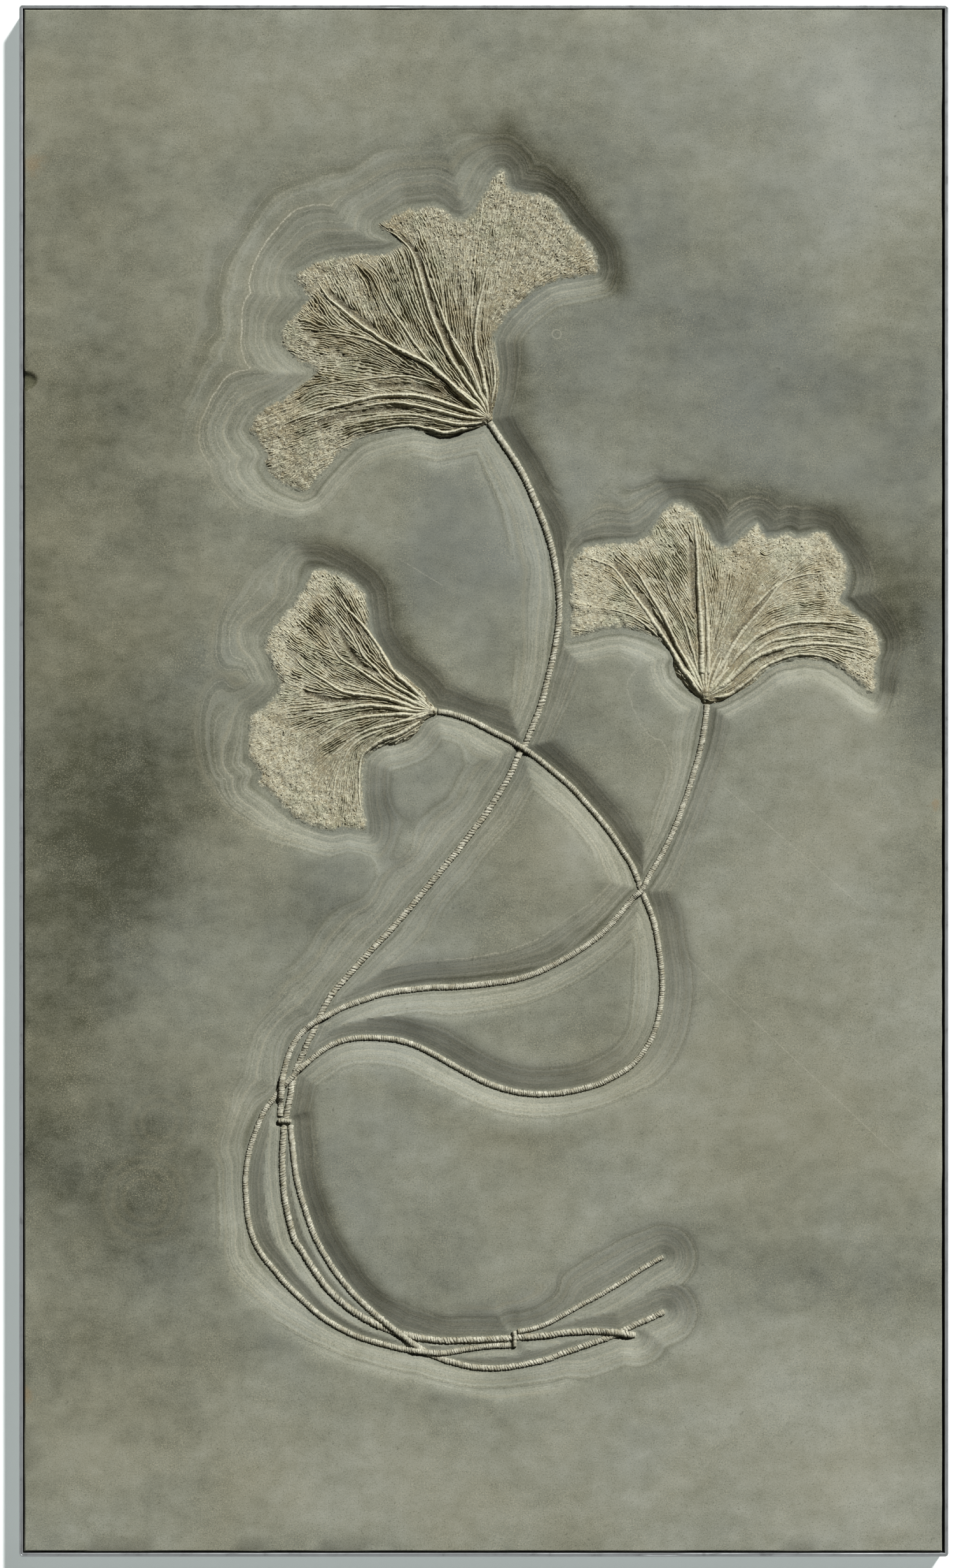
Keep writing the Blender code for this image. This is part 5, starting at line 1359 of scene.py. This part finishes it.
def buildGrains(name, field, stone):
    # short broken pieces where the branches can't be told apart
    rng = np.random.default_rng(len(name) * 23)
    outline, gap = field["outline"], crownShape["grainGap"]
    low, high = outline.min(axis=0), outline.max(axis=0)
    gx, gy = np.meshgrid(np.arange(low[0], high[0], gap * 1.2), np.arange(low[1], high[1], gap * 0.9),
                         indexing="ij")
    q = np.stack([gx.ravel(), gy.ravel()], 1) + rng.uniform(-0.6, 0.6, (gx.size, 2)) * gap
    rim = look(field, "rim", q)
    grain = np.maximum(look(field, "grain", q), 0.55 * (1 - steps(rim, 0.002, 0.010)))
    grain = np.maximum(grain, 0.10)
    clump = 0.80 + 0.55 * waves(q, 0.0055, 72)
    keep = (rng.uniform(0, 1, len(q)) < grain * clump) & (rim > 0.0010) & (
        look(field, "dim", q) < 0.25) & (look(field, "bank", q) > 0.0040 * (1 - grain))
    q, grain = q[keep], grain[keep]
    way = look(field, "flow", q)
    turn = rng.normal(0, 0.42, len(q))
    way = np.stack([way[:, 0] * np.cos(turn) - way[:, 1] * np.sin(turn),
                    way[:, 0] * np.sin(turn) + way[:, 1] * np.cos(turn)], 1)
    side = rightOf(way)
    size = rng.uniform(0.60, 1.60, len(q))[:, None] ** 1.3
    long, wide = rng.uniform(0.0009, 0.0014, (len(q), 1)) * size, crownShape["grainWide"] * size
    edge = look(field, "film", q)
    ground = floorZ + look(field, "height", q) - 0.0005 * (1 - 0.7 * edge)
    tall = (rng.uniform(0.0004, 0.0011, len(q)) * size[:, 0] + 0.0005) * (1 - 0.80 * edge)
    rows = []
    for du, dv, up in ((-1, -0.8, 0), (0.8, -1, 0), (1, 0.8, 0), (-0.8, 1, 0), (-0.35, 0.15, 1),
                       (0.30, -0.2, 0.85)):
        p = q + way * long * du + side * wide * dv
        rows.append(np.column_stack([p, ground + tall * up]))
    verts = np.stack(rows, 1).reshape(-1, 3)
    form = ((0, 1, 5, 4), (2, 3, 4, 5), (1, 2, 5), (3, 0, 4), (3, 2, 1, 0))
    faces = [tuple(6 * k + m for m in f) for k in range(len(q)) for f in form]
    shade = rng.uniform(-0.30, 0.26, len(q)) + crowns[name]["stain"]
    # shade is a random tone with the stain; the four base corners are painted darker as shade at each
    # grain's foot
    pit = np.stack([0.20 + shade] * 4 + [shade, shade], 1).ravel()
    return finishCrown(name, "Grains", verts, faces, stone, 1.3, pit, np.repeat(edge, 6))


def buildCup(name, field, stone):
    # the small plated cup that joins the arms to the stem
    cup = field["cup"]
    starts = np.array([place(a[2]) for a in crowns[name]["arms"]
                       if np.hypot(*(np.array(place(a[0])) - cup)) < 0.03])
    way = (starts - cup).mean(axis=0)
    way /= np.linalg.norm(way)
    side = np.array([way[1], -way[0]])
    rng = np.random.default_rng(len(name) * 31)
    verts, pit = [], []
    rows, n = crownShape["cupRows"], crownShape["cupPoints"]
    for k, (along, half, high) in enumerate(rows):
        for m in range(n):
            a = math.pi * m / (n - 1)
            groove = 1 - 0.10 * (m % 3 == 1) + 0.03 * rng.uniform(-1, 1)
            p = cup + way * along + side * half * math.cos(a) * groove
            verts.append((p[0], p[1], floorZ + high * max(math.sin(a), 0.0) ** 0.8 * groove))
            pit.append(0.55 if k in (2, 5) else 0.40 if m % 3 == 1 else 0.05)
    walls, ends = tubeFaces(0, len(rows), n)
    faces = [face[::-1] for face in walls + ends]
    return finishCrown(name, "Cup", verts, faces, stone, 0.8, pit, np.zeros(len(verts)))


calcite = {
    "crest": (0.478, 0.458, 0.331),
    "pale": (0.680, 0.655, 0.490),
    # gap is the dark colour painted as shade in the gaps and at the feet of the ridges
    "gap": (0.058, 0.044, 0.016),
    "tan": (0.320, 0.258, 0.135),
    "moss": (0.262, 0.290, 0.185),
    "mud": (0.215, 0.220, 0.164),   # stone left at the thin edge
    "grain": 0.00045,
    "lump": 0.00120,
}


def crownStone():
    stone, tree, shader = newStone("crownCalcite", 0.80, calcite["crest"])
    lay = coatOf(tree, shader, calcite, "crest")
    at, pit, film = spot(tree), mark(tree, "pit"), mark(tree, "film")
    vary = cloud(tree, at, 60.0, 5.0, 0.66)
    slow = cloud(tree, at, 15.0, 3.0, 0.6)
    other = cloud(tree, at, 23.0, 4.0, 0.6)
    fine = cloud(tree, at, 330.0, 4.0, 0.74)
    lay(band(tree, vary, 0.46, 0.70, 0.0, 0.70), "pale")
    lay(band(tree, slow, 0.54, 0.34, 0.0, 0.60), "tan")
    lay(band(tree, cloud(tree, at, 210.0, 2.0, 0.6), 0.52, 0.36, 0.0, 0.60), "tan")
    lay(band(tree, other, 0.50, 0.68, 0.0, 0.45), "moss")
    # painted shade in the gaps and at the feet, then pale crests as painted highlight along with pale
    # grains, then mud over the thin edge
    dark = sway(tree, vary, 0.6, sway(tree, fine, 2.9, pit))
    lay(band(tree, dark, 0.10, 0.92, 0.0, 0.96), "gap")
    lay(sums(tree, "MAXIMUM", band(tree, fine, 0.54, 0.68, 0.0, 0.62),
             band(tree, dark, 0.10, -0.20, 0.0, 0.68)), "pale")
    lay(band(tree, sway(tree, fine, 1.6, film), 0.15, 0.95), "mud")
    relief(tree, shader, [(cloud(tree, at, 260.0, 3.0, 0.7), calcite["lump"]),
                          (fine, calcite["grain"])])
    return stone


def cupFolds(name, field):
    # broad folds that spread from the cup between the arms
    cup, count, far = field["cup"], *crowns[name]["folds"]
    tips = np.array([place(a[min(3, len(a) - 1)]) for a in crowns[name]["arms"]
                     if np.hypot(*(np.array(place(a[0])) - cup)) < 0.06])
    aim = (tips - cup).mean(axis=0)
    base = math.atan2(aim[1], aim[0])
    turns = [(math.atan2(*(t - cup)[::-1]) - base + math.pi) % (2 * math.pi) - math.pi
             for t in tips]
    rng = np.random.default_rng(len(name) * 37)
    folds = []
    for k in range(count):
        turn = base + min(turns) + (max(turns) - min(turns)) * (k + 0.5) / count
        turn += rng.uniform(-0.05, 0.05)
        run = np.linspace(0.0035, far * rng.uniform(0.75, 1.15), 46)
        bend = turn + rng.uniform(-0.25, 0.25) * (run / far) ** 2
        line = cup + run[:, None] * np.stack([np.cos(bend), np.sin(bend)], 1)
        t = np.linspace(0, 1, len(line))
        wide = (0.0016 + 0.0022 * np.sqrt(t)) * (1 - 0.50 * t ** 3) * rng.uniform(0.8, 1.1)
        high = 0.8 * crowns[name]["ropeHigh"] * (1 - 0.70 * t ** 2) * rng.uniform(0.8, 1.2)
        folds.append((line, wide, high))
    return folds


def buildCrown(name, stone):
    crown, field = crowns[name], crownField(name)
    furrows = [smoothLine(placeAll(f), 0.003) for f in crown["furrows"]]
    ropes = []
    for arm, big in zip(crown["arms"], crown["stout"]):
        line = evenly(smoothLine(placeAll(arm), 0.001), 0.0012)
        t = np.linspace(0, 1, len(line))
        shrink = (1 - (1 - crownShape["ropeTip"]) * t ** 1.4) * big
        ropes.append((line, crownShape["ropeHalf"] * shrink, crown["ropeHigh"] * shrink))
    ropes += cupFolds(name, field)
    strands = traceStrands(name, field, ropes, furrows)
    print("  ", name, len(strands), "fine branches")
    buildMat(name, field, stone)
    buildArms(name, field, stone, ropes)
    buildBranches(name, field, stone, strands)
    buildGrains(name, field, stone)
    buildCup(name, field, stone)


# the stems, each drawn from its crown down; of its discs the pitch, how far they slant, how
# deep the joints are and the smooth lead
stems = {
    "stem_upper": {
        "width": 0.0080,
        "high": 0.0046,
        "discs": (0.0038, 0.40, 0.34, 0.120),
        "line": [
            (769.4, 662.3), (783, 683), (800, 708), (816, 733), (829, 758), (840, 783), (850, 808),
            (861, 838), (870, 870), (876, 905), (879.5, 940), (879, 975), (874, 1010), (868, 1040),
            (860, 1072), (851, 1106), (838, 1140), (826, 1168), (814, 1190), (802, 1217),
            (782, 1251), (763, 1280), (740, 1310), (715, 1342), (690, 1372), (660, 1408),
            (619, 1456), (580, 1497), (540, 1541), (522, 1562), (509, 1584), (500, 1602),
            (492.5, 1621), (484, 1637), (478, 1652), (470, 1670), (465, 1683), (459, 1703),
            (456, 1723), (452, 1741), (449, 1757), (446, 1772), (444.5, 1790), (443.5, 1811),
            (443.3, 1830), (444.3, 1851), (446, 1876), (449, 1895), (453.5, 1917), (459, 1938),
            (465, 1954), (472, 1964), (483, 1982), (495, 2000), (509, 2020), (526, 2038),
            (545, 2055), (564, 2068), (583, 2079), (599, 2087), (617, 2093.5), (637, 2099),
            (660, 2104), (680, 2107), (700, 2108.5), (740, 2107.5), (784, 2105.5), (820, 2103.5),
            (840, 2102), (860, 2100.5), (880, 2097), (900, 2095), (930, 2093.5), (956, 2094),
            (972, 2095.5), (985, 2098), (999.5, 2099.5)],
    },
    "stem_left": {
        "width": 0.0070,
        "high": 0.0038,
        "discs": (0.0028, 0.15, 0.27, 0.020),
        "line": [
            (688.6, 1117.6), (700, 1119), (721, 1124.5), (740, 1131.5), (761, 1142), (782, 1153),
            (800, 1162), (819, 1173), (841, 1188), (861, 1204), (880, 1220), (900, 1238),
            (920, 1260), (940, 1283), (960, 1308), (980, 1338), (994, 1360), (1003, 1382),
            (1009.5, 1401), (1019, 1423), (1028, 1447), (1034, 1475), (1038, 1503), (1041, 1530),
            (1041.5, 1554), (1039.5, 1578), (1035, 1604), (1027, 1628), (1014, 1651), (998, 1671),
            (980, 1685), (960, 1696), (940, 1705), (919, 1711), (899, 1715.5), (879, 1718.5),
            (859, 1720), (839, 1720), (819, 1718), (800, 1714), (780, 1708), (760, 1700),
            (740, 1690), (720, 1679), (699, 1667), (679, 1656), (659, 1646), (640, 1639),
            (620, 1634), (599, 1632), (579, 1631), (559, 1632), (540, 1635.5), (520, 1643),
            (503, 1654), (484, 1669), (470, 1681), (460, 1692), (450, 1702.5), (440, 1713),
            (429, 1728), (418, 1742), (410, 1757), (402, 1777), (395, 1797), (390, 1816),
            (386.5, 1838), (385, 1861), (386, 1882), (387.5, 1902), (390, 1920), (395, 1940),
            (403, 1960), (416, 1980), (431, 1998), (446, 2016), (462, 2032), (480, 2049),
            (500, 2067), (519, 2080), (539, 2091.5), (559, 2101), (580, 2108), (601, 2114),
            (621, 2119), (641, 2123), (660, 2125), (680, 2127), (700, 2127.5), (720, 2124.5),
            (740, 2121), (762, 2118), (783, 2116.5), (803.6, 2116)],
    },
    "stem_left_end": {
        "width": 0.0062,
        "high": 0.0038,
        "discs": (0.0028, 0.10, 0.24, 0.0),
        "line": [
            (814, 2094.2), (822, 2093), (840, 2089), (860, 2082), (880, 2071.5), (900, 2060),
            (920, 2049), (940, 2038.5), (960, 2027), (980, 2015), (1000, 2002), (1020, 1989.5),
            (1043, 1976.5)],
    },
    "stem_right": {
        "width": 0.0074,
        "high": 0.0033,
        "discs": (0.0022, 0.10, 0.22, 0.010),
        "line": [
            (1112, 1106.6), (1111.5, 1118), (1108, 1143), (1104, 1167), (1098, 1192),
            (1090, 1219), (1081.5, 1247), (1072, 1274), (1061, 1302), (1048.5, 1329), (1035, 1354),
            (1021, 1377), (1010, 1398), (997, 1410), (980, 1431), (960, 1454), (940, 1473),
            (919, 1488), (899, 1501), (879, 1512), (860, 1522), (840, 1530.5), (819, 1537.5),
            (799, 1542), (760, 1547), (720, 1551), (681, 1552), (660, 1554), (630, 1557.5),
            (600, 1562.5), (579, 1569), (559, 1576), (540, 1583), (520, 1593), (501, 1603),
            (484, 1614), (470, 1628), (459, 1645), (451, 1665), (446.5, 1683), (443, 1702),
            (442, 1721), (440.5, 1741), (439.5, 1755)],
    },
    "stem_right_end": {
        "width": 0.0074,
        "high": 0.0038,
        "discs": (0.0034, 0.35, 0.30, 0.100),
        "line": [
            (456.5, 1769), (457, 1784), (459, 1800), (461, 1820), (463.5, 1841), (467.5, 1861),
            (472.5, 1881), (479, 1902), (486.5, 1924), (494.5, 1945), (503, 1962), (513, 1979),
            (524.5, 1997), (540, 2017), (554.5, 2034), (570.5, 2050), (586, 2064), (602, 2077),
            (618, 2089.5), (631, 2099.5), (644, 2109), (656.5, 2118), (674, 2129), (691.5, 2136.5),
            (711, 2142.5), (733, 2148), (755, 2151), (778, 2152), (800, 2150), (822, 2146.5),
            (841, 2142.5), (860, 2138), (880, 2130.5), (900, 2123.5), (920, 2116.5), (940, 2109.5),
            (959, 2103), (972, 2098), (983, 2091.5), (1000, 2083), (1020, 2074.5),
            (1045, 2063)],
    },
    "ossicle_upper": {
        "width": 0.0060,
        "high": 0.0046,
        "discs": (0.0042, 0.0, 0.16, 0.0),
        "line": [(436.5, 1762), (447, 1762.3), (457.5, 1763.4)],
    },
    "ossicle_lower": {
        "width": 0.0056,
        "high": 0.0046,
        "discs": (0.0050, 0.0, 0.16, 0.0),
        "line": [(808.6, 2093), (809.2, 2105), (809, 2118.5)],
    },
}

# where they cross: the place, which lies under, which over, and how many layers up
crossings = [
    ((824, 1173), "stem_upper", "stem_left", 1),
    ((1009.5, 1401), "stem_left", "stem_right", 1),
    ((500, 1603), "stem_upper", "stem_right", 1),
    ((463.5, 1688), "stem_upper", "stem_left", 1),
    ((442.5, 1710), "stem_left", "stem_right", 2),
    ((448, 1762.5), "stem_upper", "ossicle_upper", 1),
    ((625, 2095), "stem_upper", "stem_right_end", 1),
    ((665, 2124.8), "stem_right_end", "stem_left", 1),
    ((809, 2104.5), "stem_upper", "ossicle_lower", 1),
    ((976, 2096), "stem_right_end", "stem_upper", 1),
]

stemShape = {
    "crushed": 0.0028,          # a stem where another lies over it
    "rampOver": 0.0072,
    "rampUnder": 0.0050,
    "section": ((-1.0, 0.0), (-0.97, 0.36), (-0.76, 0.74), (-0.38, 0.95), (0.0, 1.0),
                (0.38, 0.95), (0.76, 0.74), (0.97, 0.36), (1.0, 0.0)),
    "phases": ((0.22, 0.0), (0.50, -0.12), (0.78, 0.0)),     # along a disc, how tight
    "ragged": 0.20,
    "stains": 0.46,
    "endRound": 0.0012,
}


def stemProfile(name):
    # the stem's line with its lift over other stems and its height
    line = smoothLine(placeAll(stems[name]["line"]), 0.001)
    run = runLength(line)
    full, crushed = stems[name]["high"], stemShape["crushed"]
    lift, tall = np.zeros(len(run)), np.full(len(run), full)
    for spotAt, under, over, level in crossings:
        if name not in (under, over):
            continue
        other = over if name == under else under
        otherLine = smoothLine(placeAll(stems[other]["line"]), 0.001)
        k = int(np.argmin(np.linalg.norm(line - np.array(place(spotAt)), axis=1)))
        wide = 0.5 * (stems[name]["width"] + stems[other]["width"]) + 0.0006
        a0, b0 = max(0, k - 60), min(len(line), k + 60)
        close = np.zeros(len(line), bool)
        close[a0:b0] = distanceToLine(line[a0:b0], otherLine, False) < wide
        a = b = k
        while a > 0 and close[a - 1]:
            a -= 1
        while b < len(run) - 1 and close[b + 1]:
            b += 1
        ramp = stemShape["rampOver" if name == over else "rampUnder"]
        share = np.clip(np.minimum(run - run[a] + ramp, run[b] + ramp - run) / ramp, 0.0, 1.0)
        if name == over:
            lift = np.maximum(lift, share * level * (crushed + slab["seatGap"]))
        else:
            tall = np.minimum(tall, full + share * (crushed - full))
    return line, run, lift, tall


def discMarks(rng, pitch, length):
    # stations along the stem: where, how tight, the disc's thickness, its slant, and which
    # part of its joint shows dark
    rows, s = [], 0.0
    while s < length - pitch * 0.4:
        step = min(pitch * rng.uniform(0.72, 1.28), length - s)
        lump, tilt, bite = rng.uniform(-1, 1), rng.uniform(0.2, 1.7), rng.uniform(0.25, 1.25)
        middle, spread = rng.uniform(-0.6, 0.6), rng.uniform(0.35, 1.3)
        for phase, tight in ((0.0, bite), *stemShape["phases"]):
            rows.append((s + phase * step, tight, lump, tilt, middle, spread))
        s += step
    rows.append((length, 0.0, 0.0, 1.0, 0.0, 1.0))
    return np.array(rows).T


def buildStem(name, stone):
    line, run, lift, tall = stemProfile(name)
    pitch, slant, joint, lead = stems[name]["discs"]
    half, length = stems[name]["width"] / 2, run[-1]
    section, endRound = stemShape["section"], stemShape["endRound"]
    rng = np.random.default_rng(len(name) * 29 + int(half * 1e5))
    marks, pinch, lumps, tilts, middles, spreads = discMarks(rng, pitch, length)
    at = np.clip(marks, 0.0, length)
    c = pointsAt(at, run, line)
    way = pointsAt(at + 0.002, run, line) - pointsAt(at - 0.002, run, line)
    way = way / np.linalg.norm(way, axis=1)[:, None]
    side = rightOf(way)
    depth = joint * (0.16 + 0.84 * steps(marks, lead * 0.4, lead + 0.001))
    fit = 1.0 - depth * np.maximum(pinch, 0.0) + 0.12 * depth * np.maximum(-pinch, 0.0)
    fit = np.minimum(fit * (1 - 0.030 * (1 - lumps)) * (1 + 0.02 * waves(c, 0.02, 61)), 1.0)
    ends = np.minimum(np.clip(at / endRound, 0.0, 1.0), np.clip((length - at) / endRound, 0.0, 1.0))
    fit = fit * (0.80 + 0.20 * np.sqrt(ends))
    low = floorZ + slab["seatGap"] + np.interp(at, run, lift)
    high = np.interp(at, run, tall) * fit
    slope = slant * half * steps(np.minimum(at, length - at), 0.0, 0.012) * tilts
    slope = np.clip(slope, 0.0, 0.55 * pitch)
    verts, pit = [], []
    for k in range(len(at)):
        for u, v in section:
            ragged = 1.0 + stemShape["ragged"] * rng.uniform(-1, 1)
            p = c[k] + side[k] * half * u * (0.45 + 0.55 * fit[k]) * ragged + way[k] * slope[k] * u
            verts.append((p[0], p[1], low[k] + high[k] * v * (0.5 + 0.5 * ragged)))
            shown = max(0.25, math.exp(-((u - middles[k]) / spreads[k]) ** 4))
            dark = max(0.0, pinch[k]) * min(1.0, depth[k] / 0.12) * shown * rng.uniform(0.6, 1.3)
            # painted shade at the foot of the stem, added to the dark joints and random stains
            pit.append(dark + max(0.0, 0.9 - 2.0 * v) + stemShape["stains"] * rng.uniform(-1, 1))
    walls, ends = tubeFaces(0, len(at), len(section))
    piece = addPiece(pieceTitle(name, "Discs"), verts, ends + walls, stone, 1.0,
                     {"pit": np.clip(pit, 0, 1)})
    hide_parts(name)
    return piece


stemColours = {
    "crest": (0.425, 0.410, 0.305),
    "pale": (0.780, 0.760, 0.610),
    "joint": (0.060, 0.054, 0.032),
    "tan": (0.300, 0.265, 0.165),
    "grain": 0.00050,
}


def stemStone():
    stone, tree, shader = newStone("stemCalcite", 0.70, stemColours["crest"])
    lay = coatOf(tree, shader, stemColours, "crest")
    at, pit = spot(tree), mark(tree, "pit")
    vary = cloud(tree, at, 90.0, 4.0, 0.65)
    fine = cloud(tree, at, 470.0, 4.0, 0.80)
    lay(band(tree, vary, 0.46, 0.68, 0.0, 0.8), "pale")
    lay(band(tree, vary, 0.50, 0.30, 0.0, 0.7), "tan")
    # the joint colour covers the dark joints and the painted shade at the stem's foot
    lay(band(tree, sway(tree, fine, 4.4, pit), 0.16, 0.85, 0.0, 0.95), "joint")
    lay(band(tree, fine, 0.53, 0.68, 0.0, 0.8), "pale")
    relief(tree, shader, [(fine, stemColours["grain"])])
    return stone


# the thin edge round the slab, folded in under it
edging = {
    "gaps": (0.0018, 0.0035, 0.0013, 0.0021),       # left, right, top, bottom
    "wall": 0.0045,
    "topZ": 0.0440,
    "flangeZ": 0.0050,
    "flangeReach": 0.0400,
    "round": 0.0045,            # outer corners
    "innerRound": 0.0004,
    "bend": 0.0010,             # where the wall turns in to the flange
    "lip": 0.0007,
    "groove": 0.00035,
    "alongStep": 0.012,
}


def buildFrame(metal):
    left, top = place(slab["corners"][0])
    right, bottom = place(slab["corners"][1])
    gapLeft, gapRight, gapTop, gapBottom = edging["gaps"]
    wall, lip, groove = edging["wall"], edging["lip"], edging["groove"]
    x0, x1 = left - gapLeft - wall, right + gapRight + wall
    y0, y1 = bottom - gapBottom - wall, top + gapTop + wall

    def ring(inset, rounding):
        # one loop round the frame, with the same count of points at every inset
        a, b, c, d = x0 + inset, y0 + inset, x1 - inset, y1 - inset
        corners = []
        for turn, (cx, cy, sx, sy) in enumerate(((c, d, 1, 1), (a, d, -1, 1), (a, b, -1, -1),
                                                 (c, b, 1, -1))):
            px, py = cx - sx * rounding, cy - sy * rounding
            turns = [math.pi / 2 * (turn + k / 8) for k in range(9)]
            corners.append([(px + rounding * math.cos(t), py + rounding * math.sin(t))
                            for t in turns])
        loop = []
        for k, corner in enumerate(corners):
            loop += corner
            after = corners[(k + 1) % 4][0]
            full = (x1 - x0) if k % 2 == 0 else (y1 - y0)
            n = int(full / edging["alongStep"])
            loop += [(corner[-1][0] + (after[0] - corner[-1][0]) * m / n,
                      corner[-1][1] + (after[1] - corner[-1][1]) * m / n) for m in range(1, n)]
        return np.array(loop)

    # the section: how far in, the corner's rounding there, and the height
    r, high, low = edging["round"], edging["topZ"], edging["flangeZ"]
    reach, inner, bend = wall + edging["flangeReach"], edging["innerRound"], edging["bend"]
    section = [(0.0, r, 0.0003), (0.0, r, high - lip), (lip * 0.3, r, high - lip * 0.3),
               (lip, r - lip, high), (wall * 0.38, r - wall * 0.38, high),
               (wall * 0.46, r - wall * 0.46, high - groove),
               (wall * 0.54, r - wall * 0.54, high - groove),
               (wall * 0.62, 0.0014, high), (wall - lip * 0.7, 0.0006, high),
               (wall - lip * 0.2, 0.0005, high - lip * 0.2), (wall, inner, high - lip * 0.7),
               (wall, inner, low + bend), (wall + bend, inner, low), (reach - inner, inner, low),
               (reach, inner, low - inner), (reach, inner, inner), (reach - inner, inner, 0.0),
               (0.0003, r, 0.0)]
    verts, worn = [], []
    for inset, rounding, z in section:
        loop = ring(inset, max(rounding, inner))
        wave = 0.00012 * waves(loop, 0.07, 81) if high - 0.002 < z < high - 0.0001 else 0.0
        verts += [(x, y, z + w) for (x, y), w in zip(loop, np.broadcast_to(wave, len(loop)))]
        # worn: painted highlight along the two rolled edges of the top
        worn += [1.0 if z > high - lip and inset in (lip, wall - lip * 0.7) else 0.0] * len(loop)
    n = len(verts) // len(section)
    faces = []
    for s in range(len(section)):
        a, b = s * n, ((s + 1) % len(section)) * n
        faces += [(a + k, a + (k + 1) % n, b + (k + 1) % n, b + k) for k in range(n)]
    piece = addPiece("edgeFrame", verts, faces, metal, 0.6, {"worn": worn})
    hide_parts("frame")
    return piece


steel = {
    "colour": (0.420, 0.445, 0.450),
    # bright is the colour of the painted highlight on the rolled edges
    "bright": (0.720, 0.740, 0.740),
    "scuff": (0.240, 0.250, 0.250),
    "metallic": 0.55,
    "roughness": 0.36,
    "brushing": 0.00003,
}


def steelPaint():
    stone, tree, shader = newStone("satinSteel", steel["roughness"], steel["colour"])
    lay = coatOf(tree, shader, steel, "colour")
    at, worn = spot(tree), mark(tree, "worn")
    drawn = cloud(tree, at, 60.0, 4.0, 0.7)
    streak = cloud(tree, at, 700.0, 2.0, 0.7, (1.0, 0.04, 1.0))
    cross = cloud(tree, at, 700.0, 2.0, 0.7, (0.04, 1.0, 1.0))
    lay(band(tree, drawn, 0.46, 0.30, 0.0, 0.6), "scuff")
    # painted highlight on the rolled top edges
    lay(band(tree, worn, 0.3, 1.0, 0.0, 0.8), "bright")
    shader.inputs["Metallic"].default_value = steel["metallic"]
    tree.links.new(sway(tree, drawn, 0.35, steel["roughness"]), shader.inputs["Roughness"])
    relief(tree, shader, [(streak, steel["brushing"]), (cross, steel["brushing"])])
    return stone


# camera, floor and lights
studio = {
    "lookAt": (-0.0096, -0.0042),
    "cameraZ": 6.019,
    "lens": 105.0,
    "keyAngle": 57.0,           # round from +X towards +Y
    "keyHeight": 43.0,
    "keyPower": 4.45,
    "keySoftness": 5.0,
    "fill": 0.015,
    "floorGlow": 0.375,         # keeps the shadow on the floor light
    "glowColour": (0.90, 1.0, 0.97, 1.0),
    "floor": (0.86, 0.88, 0.87),
    "floorHalf": 6.0,
}


def buildStage():
    scene = bpy.context.scene
    camera = bpy.data.cameras.new("camera")
    camera.lens = studio["lens"]
    camera.sensor_width = 36.0
    camera.clip_end = 50.0
    eye = bpy.data.objects.new("camera", camera)
    eye.location = (*studio["lookAt"], studio["cameraZ"])
    scene.collection.objects.link(eye)
    scene.camera = eye

    mesh = bpy.data.meshes.new("floor")
    h = studio["floorHalf"]
    mesh.from_pydata([(-h, -h, 0), (h, -h, 0), (h, h, 0), (-h, h, 0)], [], [(0, 1, 2, 3)])
    paint, _, shader = newStone("floorPaint", 0.8, studio["floor"])
    shader.inputs["Base Color"].default_value = (*studio["floor"], 1.0)
    shader.inputs["Emission Color"].default_value = studio["glowColour"]
    shader.inputs["Emission Strength"].default_value = studio["floorGlow"]
    mesh.materials.append(paint)
    ground = bpy.data.objects.new("floor", mesh)
    scene.collection.objects.link(ground)

    a, b = math.radians(studio["keyAngle"]), math.radians(studio["keyHeight"])
    way = Vector((math.cos(a) * math.cos(b), math.sin(a) * math.cos(b), math.sin(b)))
    key = bpy.data.lights.new("key", "SUN")
    key.angle = math.radians(studio["keySoftness"])
    key.energy = studio["keyPower"]
    lamp = bpy.data.objects.new("key", key)
    lamp.location = way * 4.0
    lamp.rotation_euler = (-way).to_track_quat("-Z", "Y").to_euler()
    scene.collection.objects.link(lamp)
    world = bpy.data.worlds.new("sky")
    world.use_nodes = True
    sky = world.node_tree.nodes["Background"]
    sky.inputs["Color"].default_value = (1.0, 1.0, 1.0, 1.0)
    sky.inputs["Strength"].default_value = studio["fill"]
    scene.world = world
    scene.view_settings.view_transform = "Standard"


buildStage()
print("stage set")
buildSlab(shaleStone())
print("slab done")
buildFrame(steelPaint())
print("frame done")
crownTan = crownStone()
for crownName in crowns:
    buildCrown(crownName, crownTan)
print("crowns done")
stemTan = stemStone()
for stemName in stems:
    buildStem(stemName, stemTan)
print("stems done")
